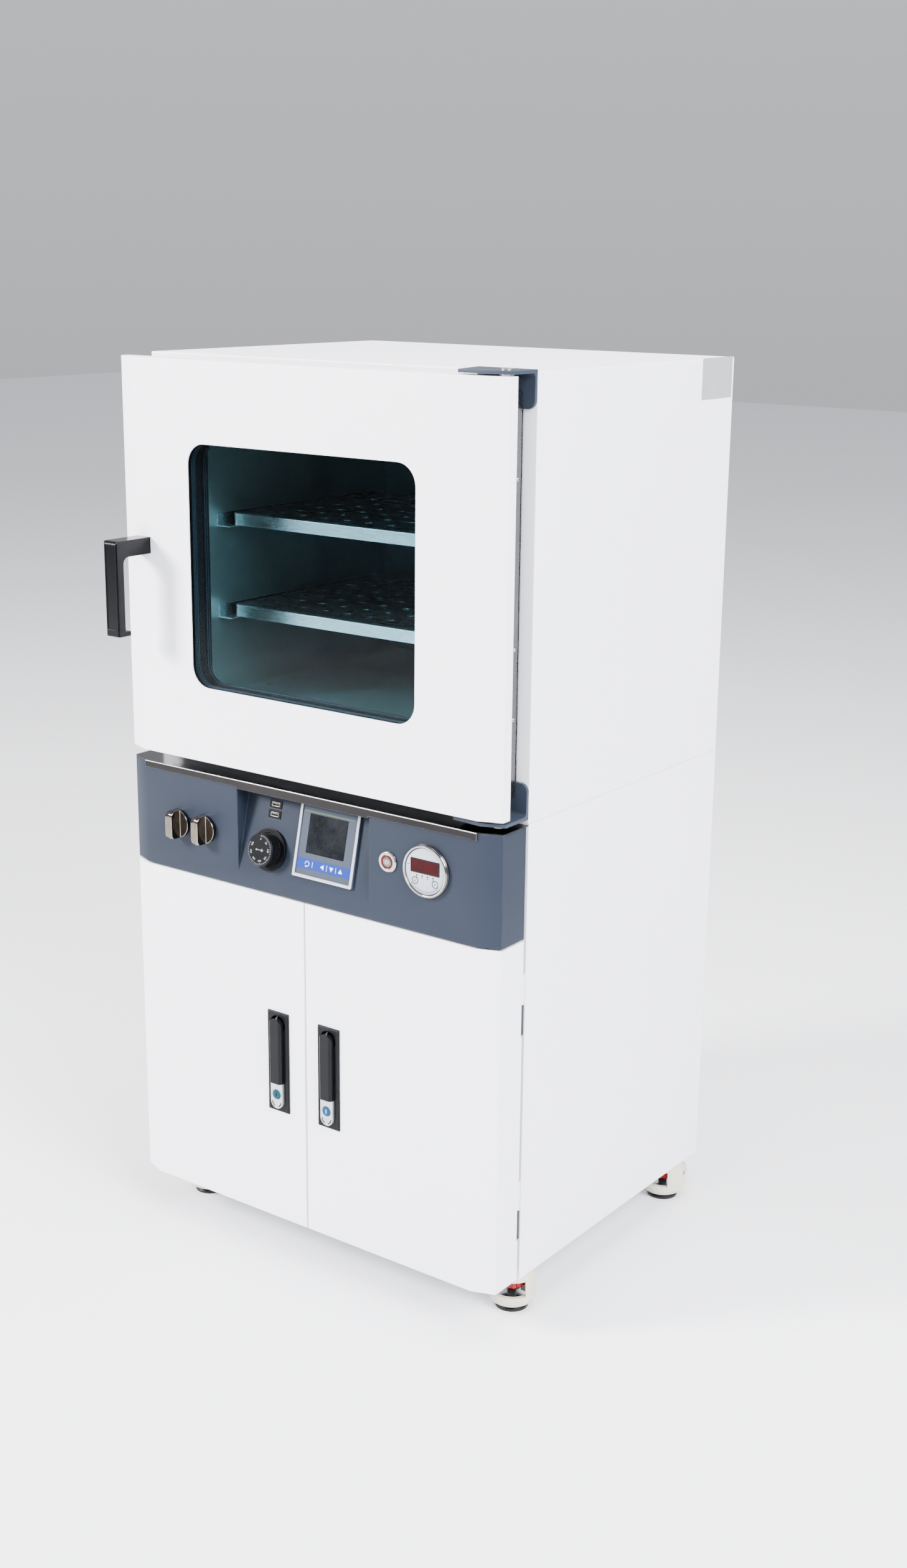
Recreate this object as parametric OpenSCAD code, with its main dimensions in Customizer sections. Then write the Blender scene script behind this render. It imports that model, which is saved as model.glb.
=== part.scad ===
// Cabinet vacuum oven: a glazed oven on top of a pump cabinet, on levelling castors.
// Modelled in the cabinet's own frame: x from the centre line, y back from the front
// plane of the body, z up from the floor. place() then centres the whole on its footprint.

/* [Cabinet] */
// Width of the body
cab_w = 600; // [570:5:680]
// Depth of the body behind its front plane
cab_d = 455; // [440:5:560]
// Height of the lower cabinet
lower_h = 602; // [590:2:680]
// Height of the upper case
upper_h = 525; // [515:5:600]
// Thickness of the case sheet
sheet = 1.5; // [1.2:0.1:2]
// Width of the folded flange round the front of the cases
flange_w = 20; // [16:1:24]

/* [Castors] */
// Height from the floor to the underside of the body
castor_h = 62; // [60:1:70]
// Distance of the castor axis from the side of the body
castor_inset_x = 34; // [31:1:50]
// Distance of the castor axis from the front and back of the body
castor_inset_y = 35; // [31:1:50]
// Radius of the cup round the levelling foot
cup_r = 29.5; // [28:0.5:31]
// Wall of the cup
cup_wall = 3.5; // [2.5:0.5:4]
// Radius of the castor wheel
wheel_r = 17; // [15:0.5:18]
// Width of the castor wheel
wheel_w = 16; // [12:1:18]
// Distance of the wheel axle behind the swivel axis
castor_trail = 39; // [38.5:0.5:42]
// Radius of the levelling pad
pad_r = 21.5; // [18:0.5:21.5]
// Gap under the wheel while the pad carries the load
wheel_lift = 1.5; // [1:0.5:3]
// Travel of the levelling foot
foot_travel = 5; // [2:0.5:5]
// Turn of the front castors at rest
castor_yaw_front = 28; // [0:1:60]
// Turn of the rear castors at rest
castor_yaw_rear = 0; // [0:1:60]

/* [Front] */
// Depth of the panel and the lower doors in front of the body
front_depth = 63; // [58:1:72]
// Width of the bevel down each side of the front
bevel_w = 30; // [20:1:36]
// Depth of that bevel
bevel_d = 11.5; // [8:0.5:16]
// Gap behind the panel and the lower doors
seam_gap = 5; // [4.5:0.5:7]
// Gap between the lower doors and the panel
door_gap = 2; // [1.5:0.5:4]
// Height of the control panel
panel_h = 141; // [136:1:160]
// Thickness of the stainless ledge
ledge_t = 1.5; // [1:0.1:2]
// Height of the lip in front of the ledge
lip_h = 8; // [6:0.5:10]

/* [Lower doors] */
// Where the two doors meet
split_x = 3; // [0:1:6]
// Gap between the two doors
split_gap = 3; // [2:0.5:5]
// Depth of the folded return where the doors meet
stile_d = 18; // [12:1:20]
// Radius of the hinge pin
leaf_pin_r = 1.5; // [1.2:0.1:1.6]
// Radius of the hinge barrel
barrel_r = 2.4; // [2.3:0.1:2.5]
// Length of one hinge
leaf_h = 80; // [60:2:100]
// Height of the lower hinge above the door's foot
leaf_low = 56; // [40:2:80]
// Height of the upper hinge above the door's foot
leaf_high = 332; // [300:2:350]

/* [Oven door] */
// Depth of the oven door in front of the body
door_depth = 65; // [60:1:75]
// Height of the oven door
door_h = 508; // [496:2:510]
// Gap between the door and the hinge plate under it
door_foot_gap = 4; // [3:0.5:5]
// Depth of the skin's side return, measured back from the corner of the bevel
return_d = 14; // [10:1:18]
// Set-back of the inner frame from the edge of the skin
frame_inset = 17; // [14:1:20]
// Width of the window
window_w = 357; // [320:1:370]
// Height of the window
window_h = 308; // [280:1:320]
// Corner radius of the window
window_r = 27; // [15:1:40]
// Drop of the window centre below the door centre
window_drop = 1.5; // [0:0.5:6]
// Thickness of the outer pane
pane_t = 5; // [4:0.5:6]
// Thickness of the laminated inner glass that seals the chamber
glass_t = 20; // [16:1:22]
// Overlap of the outer pane behind the skin
pane_lap = 14; // [8:1:18]

/* [Door hinge] */
// Distance of the hinge axis from the side of the body
pivot_inset = 15; // [13:0.5:17]
// Distance of the hinge axis in front of the body
pivot_out = 40; // [38:1:44]
// Radius of the hinge pin
pivot_r = 5; // [4:0.5:6]
// Thickness of the hinge plates
plate_t = 4; // [3:0.5:4.5]
// Length of the hinge plate along the front
plate_w = 80; // [60:1:90]
// Height of the leg on the body
plate_h = 44; // [36:1:60]

/* [Oven handle] */
// Distance of the handle axis from the left side of the body
handle_x = 42; // [40:1:44]
// Height of the handle axis above the door's foot
handle_up = 273; // [240:1:300]
// Width of the handle
handle_w = 23; // [20:1:24]
// Height of the arm
arm_h = 21; // [18:1:24]
// How far the grip stands off the door
handle_out = 61; // [52:1:70]
// Thickness of the grip
grip_t = 12; // [9:1:15]
// Length of the grip
grip_l = 122; // [100:1:140]
// Radius of the latch shaft
latch_r = 7; // [6:0.5:8]

/* [Chamber] */
// Room between the inside of the chamber and each side of the body
chamber_side = 92.5; // [89:0.5:104]
// Inside height of the chamber
chamber_h = 345; // [335:1:350]
// Room between the inside of the chamber and the back of the body
chamber_back = 85; // [80:1:150]
// Corner radius of the chamber
chamber_r = 30; // [20:1:40]
// Wall of the chamber
chamber_t = 5; // [4:0.5:6]
// Width of the chamber's front flange
flange_lap = 35; // [30:1:36]
// Width of the door gasket
gasket_w = 9; // [6:0.5:10]
// Thickness of the compressed gasket
gasket_t = 6.7; // [6:0.1:8]
// Height of the lower shelf's top above the chamber floor
shelf_low_z = 109; // [60:1:130]
// Height of the upper shelf's top above the chamber floor
shelf_high_z = 229; // [170:1:260]
// Height of the shelf's rail
shelf_h = 15.5; // [12:0.5:18]
// Side gap between a shelf and the chamber wall
shelf_gap = 10; // [9:0.5:14]
// Set-back of a shelf behind the chamber mouth
shelf_back = 35; // [30:1:50]

/* [Console] */
// Width of the sunk console
console_w = 216; // [214:1:230]
// Distance of the console's lower edge above the panel's foot
console_foot = 20.5; // [14:0.5:26]
// Distance of the console's upper edge below the panel's head
console_head = 9; // [8.5:0.5:14]
// Slope of the console face
console_tilt = 13; // [8:1:14]
// Side of the square temperature controller
controller_s = 96; // [92:1:96]
// Height of the controller's centre up the slope
controller_v = 60; // [56:0.5:64]
// Centre of the controller from the centre line
controller_x = 32; // [28:1:40]
// Centre of the dial and sockets from the centre line
dial_x = -60; // [-66:1:-56]
// Height of the dial's centre up the slope
dial_v = 36; // [34:0.5:38]
// Radius of the dial
dial_r = 21; // [18:0.5:23]
// Height of the dial
dial_h = 18; // [14:1:22]
// Radius of the ring round the dial
ring_r = 27.5; // [25:0.5:29]

/* [Panel fittings] */
// Distance of the air inlet knob from the side of the body
knob_side = 89; // [76:1:92]
// Distance between the two valve knobs
knob_pitch = 46; // [44:1:60]
// Height of the valve knobs above the panel's foot
knob_z = 66; // [50:1:90]
// Radius of a valve knob
knob_r = 19; // [15:0.5:20]
// Height of a valve knob
knob_h = 21; // [16:1:26]
// Offset of the power button from the middle of its bay
button_shift = 2.5; // [-4:0.5:6]
// Height of the button and the gauge above the panel's foot
gauge_z = 81; // [60:1:90]
// Radius of the power button's bezel
bezel_r = 13.5; // [12:0.5:15]
// Travel of the power button
button_travel = 2; // [1:0.5:3]
// Distance of the vacuum gauge from the side of the body
gauge_side = 103; // [95:1:110]
// Radius of the vacuum gauge's bezel
gauge_r = 34; // [30:0.5:36]

/* [Door locks] */
// Width of a lock plate
lock_w = 35; // [32:1:40]
// Height of a lock plate
lock_h = 140; // [136:1:150]
// Thickness of a lock plate in front of the door
lock_t = 3; // [2:0.5:4]
// Distance of a lock's centre from the centre line
lock_x = 42.5; // [40:0.5:50]
// Height of a lock's foot above the door's foot
lock_z = 157; // [140:1:180]
// Width of the lever
lever_w = 20; // [17:0.5:22]
// Length of the lever
lever_l = 91; // [84:1:93]
// Thickness of the lever
lever_t = 7; // [6:0.5:8]
// Width of the release button
release_w = 20; // [16:0.5:22]
// Height of the release button
release_h = 36; // [32:1:38]
// Travel of the release button
release_travel = 2; // [1:0.5:2.5]

/* [Back] */
// Radius of the vacuum hose spigot
spigot_r = 5; // [4:0.5:6]
// Length of the vacuum hose spigot
spigot_l = 22; // [16:1:26]

/* [Fits] */
// Radial clearance of a shaft in its hole
run_fit = 0.05; // [0.03:0.01:0.08]
// Gap between pieces that lie against each other
seat_gap = 0.2; // [0.1:0.05:0.3]

/* [Hidden] */
$fn = 64;

// heights, from the floor up
base_z = castor_h;
seam_z = base_z + lower_h;
top_z = seam_z + upper_h;
deck_z = seam_z - panel_h - door_gap;
panel_z = deck_z;
ledge_z = panel_z + panel_h;
low_plate_z = seam_z + 6;
door_z = low_plate_z + plate_t + door_foot_gap;
door_top = door_z + door_h;
high_plate_z = door_top + door_gap;
window_z = door_z + door_h / 2 - window_drop;
chamber_z = window_z - chamber_h / 2;
cab_door_z = base_z + door_gap;
cab_door_h = panel_z - door_gap - cab_door_z;

// depths, from the front plane of the body back
panel_y = -front_depth;
door_y = -door_depth;
half_w = cab_w / 2;
glass_y = -gasket_t - seat_gap - glass_t;
pane_y = door_y + sheet;
castor_reach = castor_trail + wheel_r;
rear_y = max(cab_d + spigot_l, cab_d - castor_inset_y + castor_reach);
handle_front = door_y - handle_out;
mid_y = (handle_front + rear_y) / 2;

// axes
pivot_x = half_w - pivot_inset;
pivot_y = -pivot_out;
latch_x = -half_w + handle_x;
latch_z = door_z + handle_up;
leaf_x = half_w - barrel_r - 0.1;
leaf_y = -barrel_r - 0.6;
knob_x = [-half_w + knob_side, -half_w + knob_side + knob_pitch];
spigot_x = knob_x[1];
gauge_x = half_w - gauge_side;
button_x = (console_w / 2 + gauge_x - gauge_r) / 2 + button_shift;
chamber_w = cab_w - 2 * chamber_side;
chamber_d = cab_d - chamber_back;
shelf_z = [shelf_low_z, shelf_high_z];
eps = 0.01;

// colours
white = [0.93, 0.93, 0.94];
slate = [0.36, 0.41, 0.49];
plate_blue = [0.28, 0.33, 0.42];
steel = [0.75, 0.76, 0.77];
chrome = [0.85, 0.85, 0.86];
black = [0.08, 0.09, 0.1];
ivory = [0.87, 0.86, 0.82];
red = [0.75, 0.12, 0.18];
teal = [0.45, 0.62, 0.64, 0.4];

// ---------- general shapes ----------

module place() {
    translate([0, -mid_y, 0]) children();
}

// a sketch in x and z, thickened from y to y + t
module slab(y, t) {
    translate([0, y + t, 0]) rotate([90, 0, 0]) linear_extrude(t) children();
}

// a round bar along y
module rod_y(r, y, l) {
    translate([0, y + l, 0]) rotate([90, 0, 0]) cylinder(r = r, h = l);
}

// a round bar along x, centred
module rod_x(r, l) {
    rotate([0, 90, 0]) cylinder(r = r, h = l, center = true);
}

module rounded(w, h, r) {
    square([w - 2 * r, h], center = true);
    square([w, h - 2 * r], center = true);
    for (sx = [-1, 1], sz = [-1, 1]) {
        translate([sx * (w / 2 - r), sz * (h / 2 - r)]) circle(r = r);
    }
}

module ring_sketch(w, h, r, band) {
    difference() {
        rounded(w, h, r);
        rounded(w - 2 * band, h - 2 * band, max(r - band, 1));
    }
}

module block(lo, hi) {
    translate(lo) cube(hi - lo);
}

// both sides of the centre line
module mirrored() {
    children();
    mirror([1, 0, 0]) children();
}

// plan of the bevelled front between x0 and x1, inset by t all round
function front_plan(x0, x1, depth, back, t) = [
    for (p = [
        [x0 + t, -back],
        [x0 + t, x0 < -half_w + 1 ? -depth + bevel_d + t * 0.8 : -depth + t],
        [x0 < -half_w + 1 ? -half_w + bevel_w + t * 0.2 : x0 + t, -depth + t],
        [x1 > half_w - 1 ? half_w - bevel_w - t * 0.2 : x1 - t, -depth + t],
        [x1 - t, x1 > half_w - 1 ? -depth + bevel_d + t * 0.8 : -depth + t],
        [x1 - t, -back]]) p];

// a folded sheet pan with the bevelled front, open at the back
module front_pan(x0, x1, z0, h, depth, back) {
    difference() {
        translate([0, 0, z0]) linear_extrude(h) polygon(front_plan(x0, x1, depth, back, 0));
        translate([0, 0, z0 + sheet])
            linear_extrude(h - 2 * sheet) polygon(front_plan(x0, x1, depth, back - 1, sheet));
    }
}

// ---------- cases ----------

// open box of sheet with folded front and back flanges
module case_shell(z0, h) {
    difference() {
        block([-half_w, 0, z0], [half_w, cab_d, z0 + h]);
        block([-half_w + sheet, sheet, z0 + sheet], [half_w - sheet, cab_d - sheet, z0 + h - sheet]);
        block([-half_w + flange_w, -1, z0 + flange_w], [half_w - flange_w, sheet + 1, z0 + h - flange_w]);
        block([-half_w + flange_w, cab_d - sheet - 1, z0 + flange_w],
            [half_w - flange_w, cab_d + 1, z0 + h - flange_w]);
    }
}

keeper_w = 34;
keeper_y = panel_y + stile_d + 4;
module lower_cabinet() {
    color(white) place() {
        difference() {
            case_shell(base_z, lower_h);
            for (x = knob_x) translate([x, pipe_y, seam_z]) cylinder(r = pipe_r + 3, h = 20, center = true);
        }
        // floor of the instrument bay, over the pump space
        block([-half_w + sheet, sheet, deck_z - sheet], [half_w - sheet, cab_d - sheet, deck_z]);
        block([-half_w + sheet, 0, deck_z - flange_w], [half_w - sheet, sheet, deck_z + 4]);
        // keeper post behind the meeting edges of the doors, clear of the folds of the doors
        post_z0 = cab_door_z + sheet + 1.5;
        post_z1 = cab_door_z + cab_door_h - sheet - 1.5;
        block([-keeper_w / 2, keeper_y, post_z0], [keeper_w / 2, keeper_y + sheet, post_z1]);
        block([-sheet, keeper_y, post_z0], [sheet, sheet, post_z1]);
        // mounting plates of the castors, each with a hole that the levelling screw rises into
        for (side = [-1, 1], y = [castor_inset_y, cab_d - castor_inset_y])
            translate([side * (half_w - castor_inset_x), y, 0]) difference() {
                union() {
                    translate([0, 0, base_z - top_plate]) linear_extrude(top_plate + eps) rounded(56, 56, 5);
                    translate([0, 0, cup_top + seat_gap]) cylinder(r = cup_r - 12, h = 2);
                }
                translate([0, 0, cup_top]) cylinder(r = screw_r + 1, h = base_z - cup_top);
            }
    }
}

slot_h = 34;
slot_w = 15;
module upper_case() {
    color(white) place() {
        difference() {
            case_shell(seam_z, upper_h);
            for (x = knob_x) translate([x, pipe_y, seam_z]) cylinder(r = pipe_r + 3, h = 20, center = true);
        }
    }
}

vent_w = 90;
vent_h = 4;
vent_pitch = 14;
module louvres(x, z, rows) {
    for (i = [0 : rows - 1]) translate([x, 0, z + i * vent_pitch])
        slab(cab_d - 1, sheet + 4) rounded(vent_w, vent_h, vent_h / 2 - 0.1);
}

module louvre_hoods(x, z, rows) {
    for (i = [0 : rows - 1]) translate([x - vent_w / 2, cab_d + sheet, z + i * vent_pitch + vent_h / 2]) {
        rotate([0, 90, 0]) linear_extrude(vent_w)
            polygon([[0, -0.3], [0, 3.5], [-1, 3.5], [-3, -0.3]]);
    }
}

module back_cover(z0, h) {
    difference() {
        block([-half_w + 3, cab_d, z0 + 3], [half_w - 3, cab_d + sheet, z0 + h - 3]);
        children();
    }
}

gland_x = 190;
gland_z = 560;
inlet_z = panel_z + knob_z;
module lower_back_cover() {
    color(white) place() {
        back_cover(base_z, lower_h) {
            louvres(-150, base_z + 120, 8);
            louvres(150, base_z + 120, 8);
            translate([spigot_x, cab_d - 1, inlet_z]) rod_y(spigot_r + 2, 0, 9);
            translate([gland_x, cab_d - 1, gland_z]) rod_y(gland_r + run_fit, 0, 9);
        }
        louvre_hoods(-150, base_z + 120, 8);
        louvre_hoods(150, base_z + 120, 8);
    }
}

module upper_back_cover() {
    color(white) place() {
        back_cover(seam_z, upper_h) {
            louvres(-150, seam_z + 60, 5);
            louvres(150, seam_z + 60, 5);
            louvres(0, top_z - 130, 5);
        }
        louvre_hoods(-150, seam_z + 60, 5);
        louvre_hoods(150, seam_z + 60, 5);
        louvre_hoods(0, top_z - 130, 5);
    }
}

// plate round the chamber mouth, with the slot that the latch turns behind
module front_frame() {
    color(steel) place() difference() {
        block([-half_w + 4, sheet, seam_z + 4], [half_w - 4, sheet + 2, top_z - 4]);
        translate([0, 0, window_z]) slab(sheet - 1, 4)
            rounded(chamber_w + 2 * flange_lap + 2 * seat_gap, chamber_h + 2 * flange_lap + 2 * seat_gap, 12);
        translate([latch_x, 0, latch_z]) slab(sheet - 1, 4) rounded(slot_w, slot_h, slot_w / 2 - 0.1);
    }
}

// ---------- chamber ----------

port_r = 8;
module chamber() {
    color(steel) place() difference() {
        union() {
            translate([0, 0, window_z]) {
                slab(0, chamber_d + chamber_t)
                    rounded(chamber_w + 2 * chamber_t, chamber_h + 2 * chamber_t, chamber_r + chamber_t);
                slab(0, 8) rounded(chamber_w + 2 * flange_lap, chamber_h + 2 * flange_lap, 12);
            }
        }
        translate([0, 0, window_z]) slab(-1, chamber_d + 1) rounded(chamber_w, chamber_h, chamber_r);
        for (x = knob_x) translate([x, pipe_y, chamber_z]) cylinder(r = pipe_r + run_fit, h = 30, center = true);
    }
}

jacket_gap = 4;
jacket_t = 32;
jacket_in = chamber_t + jacket_gap;
jacket_out = jacket_in + jacket_t;
module insulation() {
    color([0.85, 0.8, 0.55]) place() difference() {
        translate([0, 0, window_z]) difference() {
            slab(12, chamber_d + jacket_out - 12)
                rounded(chamber_w + 2 * jacket_out, chamber_h + 2 * jacket_out, 30);
            slab(0, chamber_d + jacket_in) rounded(chamber_w + 2 * jacket_in, chamber_h + 2 * jacket_in, chamber_r);
        }
        for (x = knob_x) translate([x, pipe_y, seam_z]) cylinder(r = pipe_r + 1, h = 300, center = true);
    }
}

mat_t = 3;
module heater_mats() {
    mat_d = chamber_d * 0.7;
    mat_y = (chamber_d - mat_d) / 2 + 40;
    color([0.7, 0.35, 0.15]) place() {
        mirrored() block([chamber_w / 2 + chamber_t + seat_gap, mat_y, window_z - 110],
            [chamber_w / 2 + chamber_t + seat_gap + mat_t, mat_y + mat_d, window_z + 110]);
        block([-130, mat_y, chamber_z - chamber_t - seat_gap - mat_t],
            [150, mat_y + mat_d, chamber_z - chamber_t - seat_gap]);
    }
}

shelf_w = chamber_w - 2 * shelf_gap;
shelf_d = chamber_d - shelf_back - 30;
module shelf(z) {
    hole_r = 6;
    pitch_x = 36;
    pitch_y = 38;
    difference() {
        translate([0, shelf_back + shelf_d / 2, z - shelf_h]) linear_extrude(shelf_h) rounded(shelf_w, shelf_d, 12);
        translate([0, shelf_back + shelf_d / 2, z - shelf_h - 1])
            linear_extrude(shelf_h + 1 - 1.5) rounded(shelf_w - 3, shelf_d - 3, 10.5);
        for (i = [-4 : 4], j = [-3 : 3]) {
            translate([i * pitch_x, shelf_back + shelf_d / 2 + j * pitch_y, z - 3]) cylinder(r = hole_r, h = 6, $fn = 24);
        }
    }
}

module shelf_lower() {
    color(steel) place() shelf(chamber_z + shelf_z[0]);
}

module shelf_upper() {
    color(steel) place() shelf(chamber_z + shelf_z[1]);
}

rail_y = 20;
rail_t = 1.2;
// angle rails on the side walls; each shelf rests on the foot of its rail
module shelf_supports() {
    reach = shelf_gap + 12;
    color(steel) place() for (z = shelf_z) mirrored() {
        x = chamber_w / 2 - seat_gap;
        z0 = chamber_z + z - shelf_h - seat_gap;
        block([x - rail_t, rail_y, z0 - rail_t], [x, chamber_d - rail_y, z0 + shelf_h]);
        block([x - reach, rail_y, z0 - rail_t], [x, chamber_d - rail_y, z0]);
    }
}

module door_gasket() {
    color([0.16, 0.16, 0.17]) place() translate([0, 0, window_z]) slab(-gasket_t, gasket_t)
        ring_sketch(chamber_w + 4 + 2 * gasket_w, chamber_h + 4 + 2 * gasket_w, chamber_r + 2 + gasket_w, gasket_w);
}

// ---------- front ----------

// stainless ledge under the oven door, with a lip over the panel and a hem over the console
module ledge_trim() {
    lip_w = cab_w - 2 * bevel_w;
    color(steel) place() {
        translate([0, 0, ledge_z]) linear_extrude(ledge_t) polygon(front_plan(-half_w, half_w, front_depth, 0, 0));
        block([-lip_w / 2, panel_y - ledge_t, ledge_z - lip_h], [lip_w / 2, panel_y, ledge_z + ledge_t]);
        block([-console_w / 2, panel_y - ledge_t, console_top - 1.5],
            [console_w / 2, panel_y, ledge_z - lip_h + eps]);
    }
}

console_z = panel_z + console_foot;
console_top = panel_z + panel_h - console_head;
console_h = console_top - console_z;
console_depth = console_h * tan(console_tilt);
slope_l = console_h / cos(console_tilt);

// x across, y out of the slope towards the back, z up the slope
module on_console(x, v) {
    translate([x, panel_y, console_z]) rotate([-console_tilt, 0, 0]) translate([0, 0, v]) children();
}

module profile_x(x, w) {
    translate([x, 0, 0]) rotate([90, 0, 90]) linear_extrude(w) children();
}

// the wedge sunk into the panel, t bigger all round than the hollow
module console_wedge(w, foot, head, front, t) {
    profile_x(-w / 2, w) polygon([
        [front, console_z - foot],
        [panel_y - foot * tan(console_tilt) + t / cos(console_tilt), console_z - foot],
        [panel_y + (console_h + head) * tan(console_tilt) + t / cos(console_tilt), console_top + head],
        [front, console_top + head]]);
}

fitting_z = panel_z + knob_z;
gauge_cz = panel_z + gauge_z;
module control_panel() {
    color(slate) place() difference() {
        union() {
            front_pan(-half_w, half_w, panel_z, panel_h, front_depth, seam_gap);
            console_wedge(console_w + 2 * sheet, 2, sheet, panel_y + sheet / 2, sheet);
        }
        console_wedge(console_w, 1, 0, panel_y - 2, 0);
        for (x = knob_x) translate([x, 0, fitting_z]) rod_y(neck_r + run_fit, panel_y - 1, sheet + 2);
        translate([button_x, 0, gauge_cz]) rod_y(bezel_r - 2.5 + run_fit, panel_y - 1, sheet + 2);
        translate([gauge_x, 0, gauge_cz]) rod_y(gauge_r - 3.5 + seat_gap, panel_y - 1, sheet + 2);
        on_console(controller_x, controller_v)
            block([-cut_s / 2, -1, -cut_s / 2], [cut_s / 2, sheet + 1, cut_s / 2]);
        on_console(dial_x, dial_v) rod_y(4 + run_fit, -1, sheet + 2);
        for (v = usb_v) on_console(dial_x, v)
            block([-usb_w / 2, -1, -usb_h / 2], [usb_w / 2, sheet + 1, usb_h / 2]);
    }
}

cut_s = controller_s - 4;
module controller() {
    bezel_t = 4;
    border = 4;
    screen_w = 62;
    screen_h = 51;
    screen_up = 9;
    body_d = 40;
    color([0.5, 0.53, 0.58]) place() on_console(controller_x, controller_v) {
        difference() {
            slab(-bezel_t, bezel_t) rounded(controller_s, controller_s, 1.5);
            slab(-bezel_t - 1, 2) rounded(controller_s - 2 * border, controller_s - 2 * border, 0.8);
            translate([-1, 0, screen_up]) slab(-bezel_t - 1, 3) rounded(screen_w, screen_h, 1);
        }
        body_s = cut_s - 2 * seat_gap;
        block([-body_s / 2, -eps, -body_s / 2], [body_s / 2, body_d, body_s / 2]);
    }
}

usb_w = 19;
usb_h = 9.5;
usb_v = [dial_v + 46, dial_v + 59];
module usb_sockets() {
    color(black) place() for (v = usb_v) on_console(dial_x, v) {
        difference() {
            union() {
                slab(-0.8, 0.8) rounded(usb_w + 1, usb_h + 1, 0.8);
                block([-usb_w / 2 + seat_gap, -eps, -usb_h / 2 + seat_gap],
                    [usb_w / 2 - seat_gap, 16, usb_h / 2 - seat_gap]);
            }
            block([-6.5, -1, -2.6], [6.5, 12, 2.6]);
        }
        block([-5.5, 1, -0.2], [5.5, 12 + eps, 1.8]);
    }
}

ring_h = 4;
module overtemp_base() {
    color(black) place() on_console(dial_x, dial_v) difference() {
        union() {
            difference() {
                rod_y(ring_r, -ring_h, ring_h);
                rod_y(dial_r + 1, -ring_h - 1, 2);
            }
            rod_y(4, -eps, sheet + 1);
            rod_y(15, sheet, 24);
        }
        rod_y(3 + run_fit, -ring_h - 1, 20);
    }
}

module overtemp_dial() {
    color(black) place() on_console(dial_x, dial_v) {
        difference() {
            translate([0, -ring_h + 1 - seat_gap, 0]) rotate([90, 0, 0]) rotate_extrude()
                polygon([[0, 0], [dial_r, 0], [dial_r, dial_h - 1.2], [dial_r - 1.2, dial_h], [0, dial_h]]);
            for (a = [0 : 10 : 350]) rotate([0, a, 0])
                translate([dial_r + 0.5, 0, 0]) rod_y(1.1, -ring_h - dial_h + 4, dial_h - 5);
        }
        rod_y(3, -ring_h, 17);
    }
}

// round base with a flat grip across it, its corners rounded by the turned outline
module valve_knob(x) {
    grip = 11;
    place() translate([x, panel_y - 0.5, fitting_z]) {
        intersection() {
            rotate([90, 0, 0]) rotate_extrude()
                polygon([[0, 0], [knob_r, 0], [knob_r, knob_h - 6], [knob_r - 1, knob_h - 3],
                    [knob_r - 3, knob_h - 1], [knob_r - 6, knob_h], [0, knob_h]]);
            union() {
                rod_y(knob_r, -5, 6);
                block([-grip / 2, -knob_h - 1, -knob_r], [grip / 2, 0, knob_r]);
            }
        }
        rod_y(shaft_r, -eps, 24);
    }
}

module valve_knob_inlet() {
    color(chrome) valve_knob(knob_x[0]);
}

module valve_knob_vacuum() {
    color(chrome) valve_knob(knob_x[1]);
}

shaft_r = 3;
neck_r = 8;
pipe_r = 4.5;
pipe_y = 70;
nut_t = 4;
// the two valves behind the panel, their pipes up to the chamber and the hose spigot
module vacuum_pipework() {
    valve_y = panel_y + sheet;
    valve_s = 26;
    valve_d = 34;
    rise = chamber_z - chamber_t - fitting_z;
    color([0.8, 0.68, 0.4]) place() {
        for (x = knob_x) translate([x, 0, fitting_z]) {
            difference() {
                union() {
                    rod_y(neck_r, panel_y, sheet + 1);
                    block([-valve_s / 2, valve_y, -valve_s / 2], [valve_s / 2, valve_y + valve_d, valve_s / 2]);
                }
                rod_y(shaft_r + run_fit, panel_y - 1, 27);
            }
            rod_y(pipe_r, valve_y + valve_d - 2, pipe_y - valve_y - valve_d + 2);
            translate([0, pipe_y, 0]) sphere(r = pipe_r);
            translate([0, pipe_y, 0]) cylinder(r = pipe_r, h = rise + chamber_t);
        }
        // outlet of the vacuum valve, and the spigot on the back
        translate([spigot_x, 0, inlet_z]) {
            rod_y(pipe_r - 1, pipe_y, cab_d - pipe_y + 2);
            rod_y(spigot_r, cab_d - 6, spigot_l + 6);
            rod_y(spigot_r + 2 - run_fit, cab_d - 6, 8);
            rod_y(spigot_r + 8, cab_d + sheet, nut_t);
        }
    }
}

module power_bezel() {
    color(chrome) place() translate([button_x, panel_y, gauge_cz]) difference() {
        union() {
            rotate([90, 0, 0]) rotate_extrude()
                polygon([[0, 0], [bezel_r, 0], [bezel_r, 1.4], [bezel_r - 1.2, 2.6], [0, 2.6]]);
            rod_y(bezel_r - 2.5, -eps, 26);
            rod_y(bezel_r - 0.5, sheet, 5);
        }
        rod_y(bezel_r - 4.5 + run_fit, -4, 20);
    }
}

module power_button() {
    color(red) place() translate([button_x, panel_y, gauge_cz])
        rotate([90, 0, 0]) rotate_extrude() polygon([[0, -11], [bezel_r - 4.5, -11], [bezel_r - 4.5, 2],
            [bezel_r - 5.3, 2.6], [0, 2.6]]);
}

module vacuum_gauge() {
    color(chrome) place() translate([gauge_x, panel_y, gauge_cz]) {
        rotate([90, 0, 0]) rotate_extrude() polygon([[0, -eps], [gauge_r, -eps], [gauge_r, 2], [gauge_r - 1, 5],
            [gauge_r - 2.4, 6.2], [gauge_r - 4, 6], [gauge_r - 4.8, 4], [0, 4]]);
        rod_y(gauge_r - 3.5, -1, 30);
    }
}

// ---------- oven door and its hinge ----------

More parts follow.
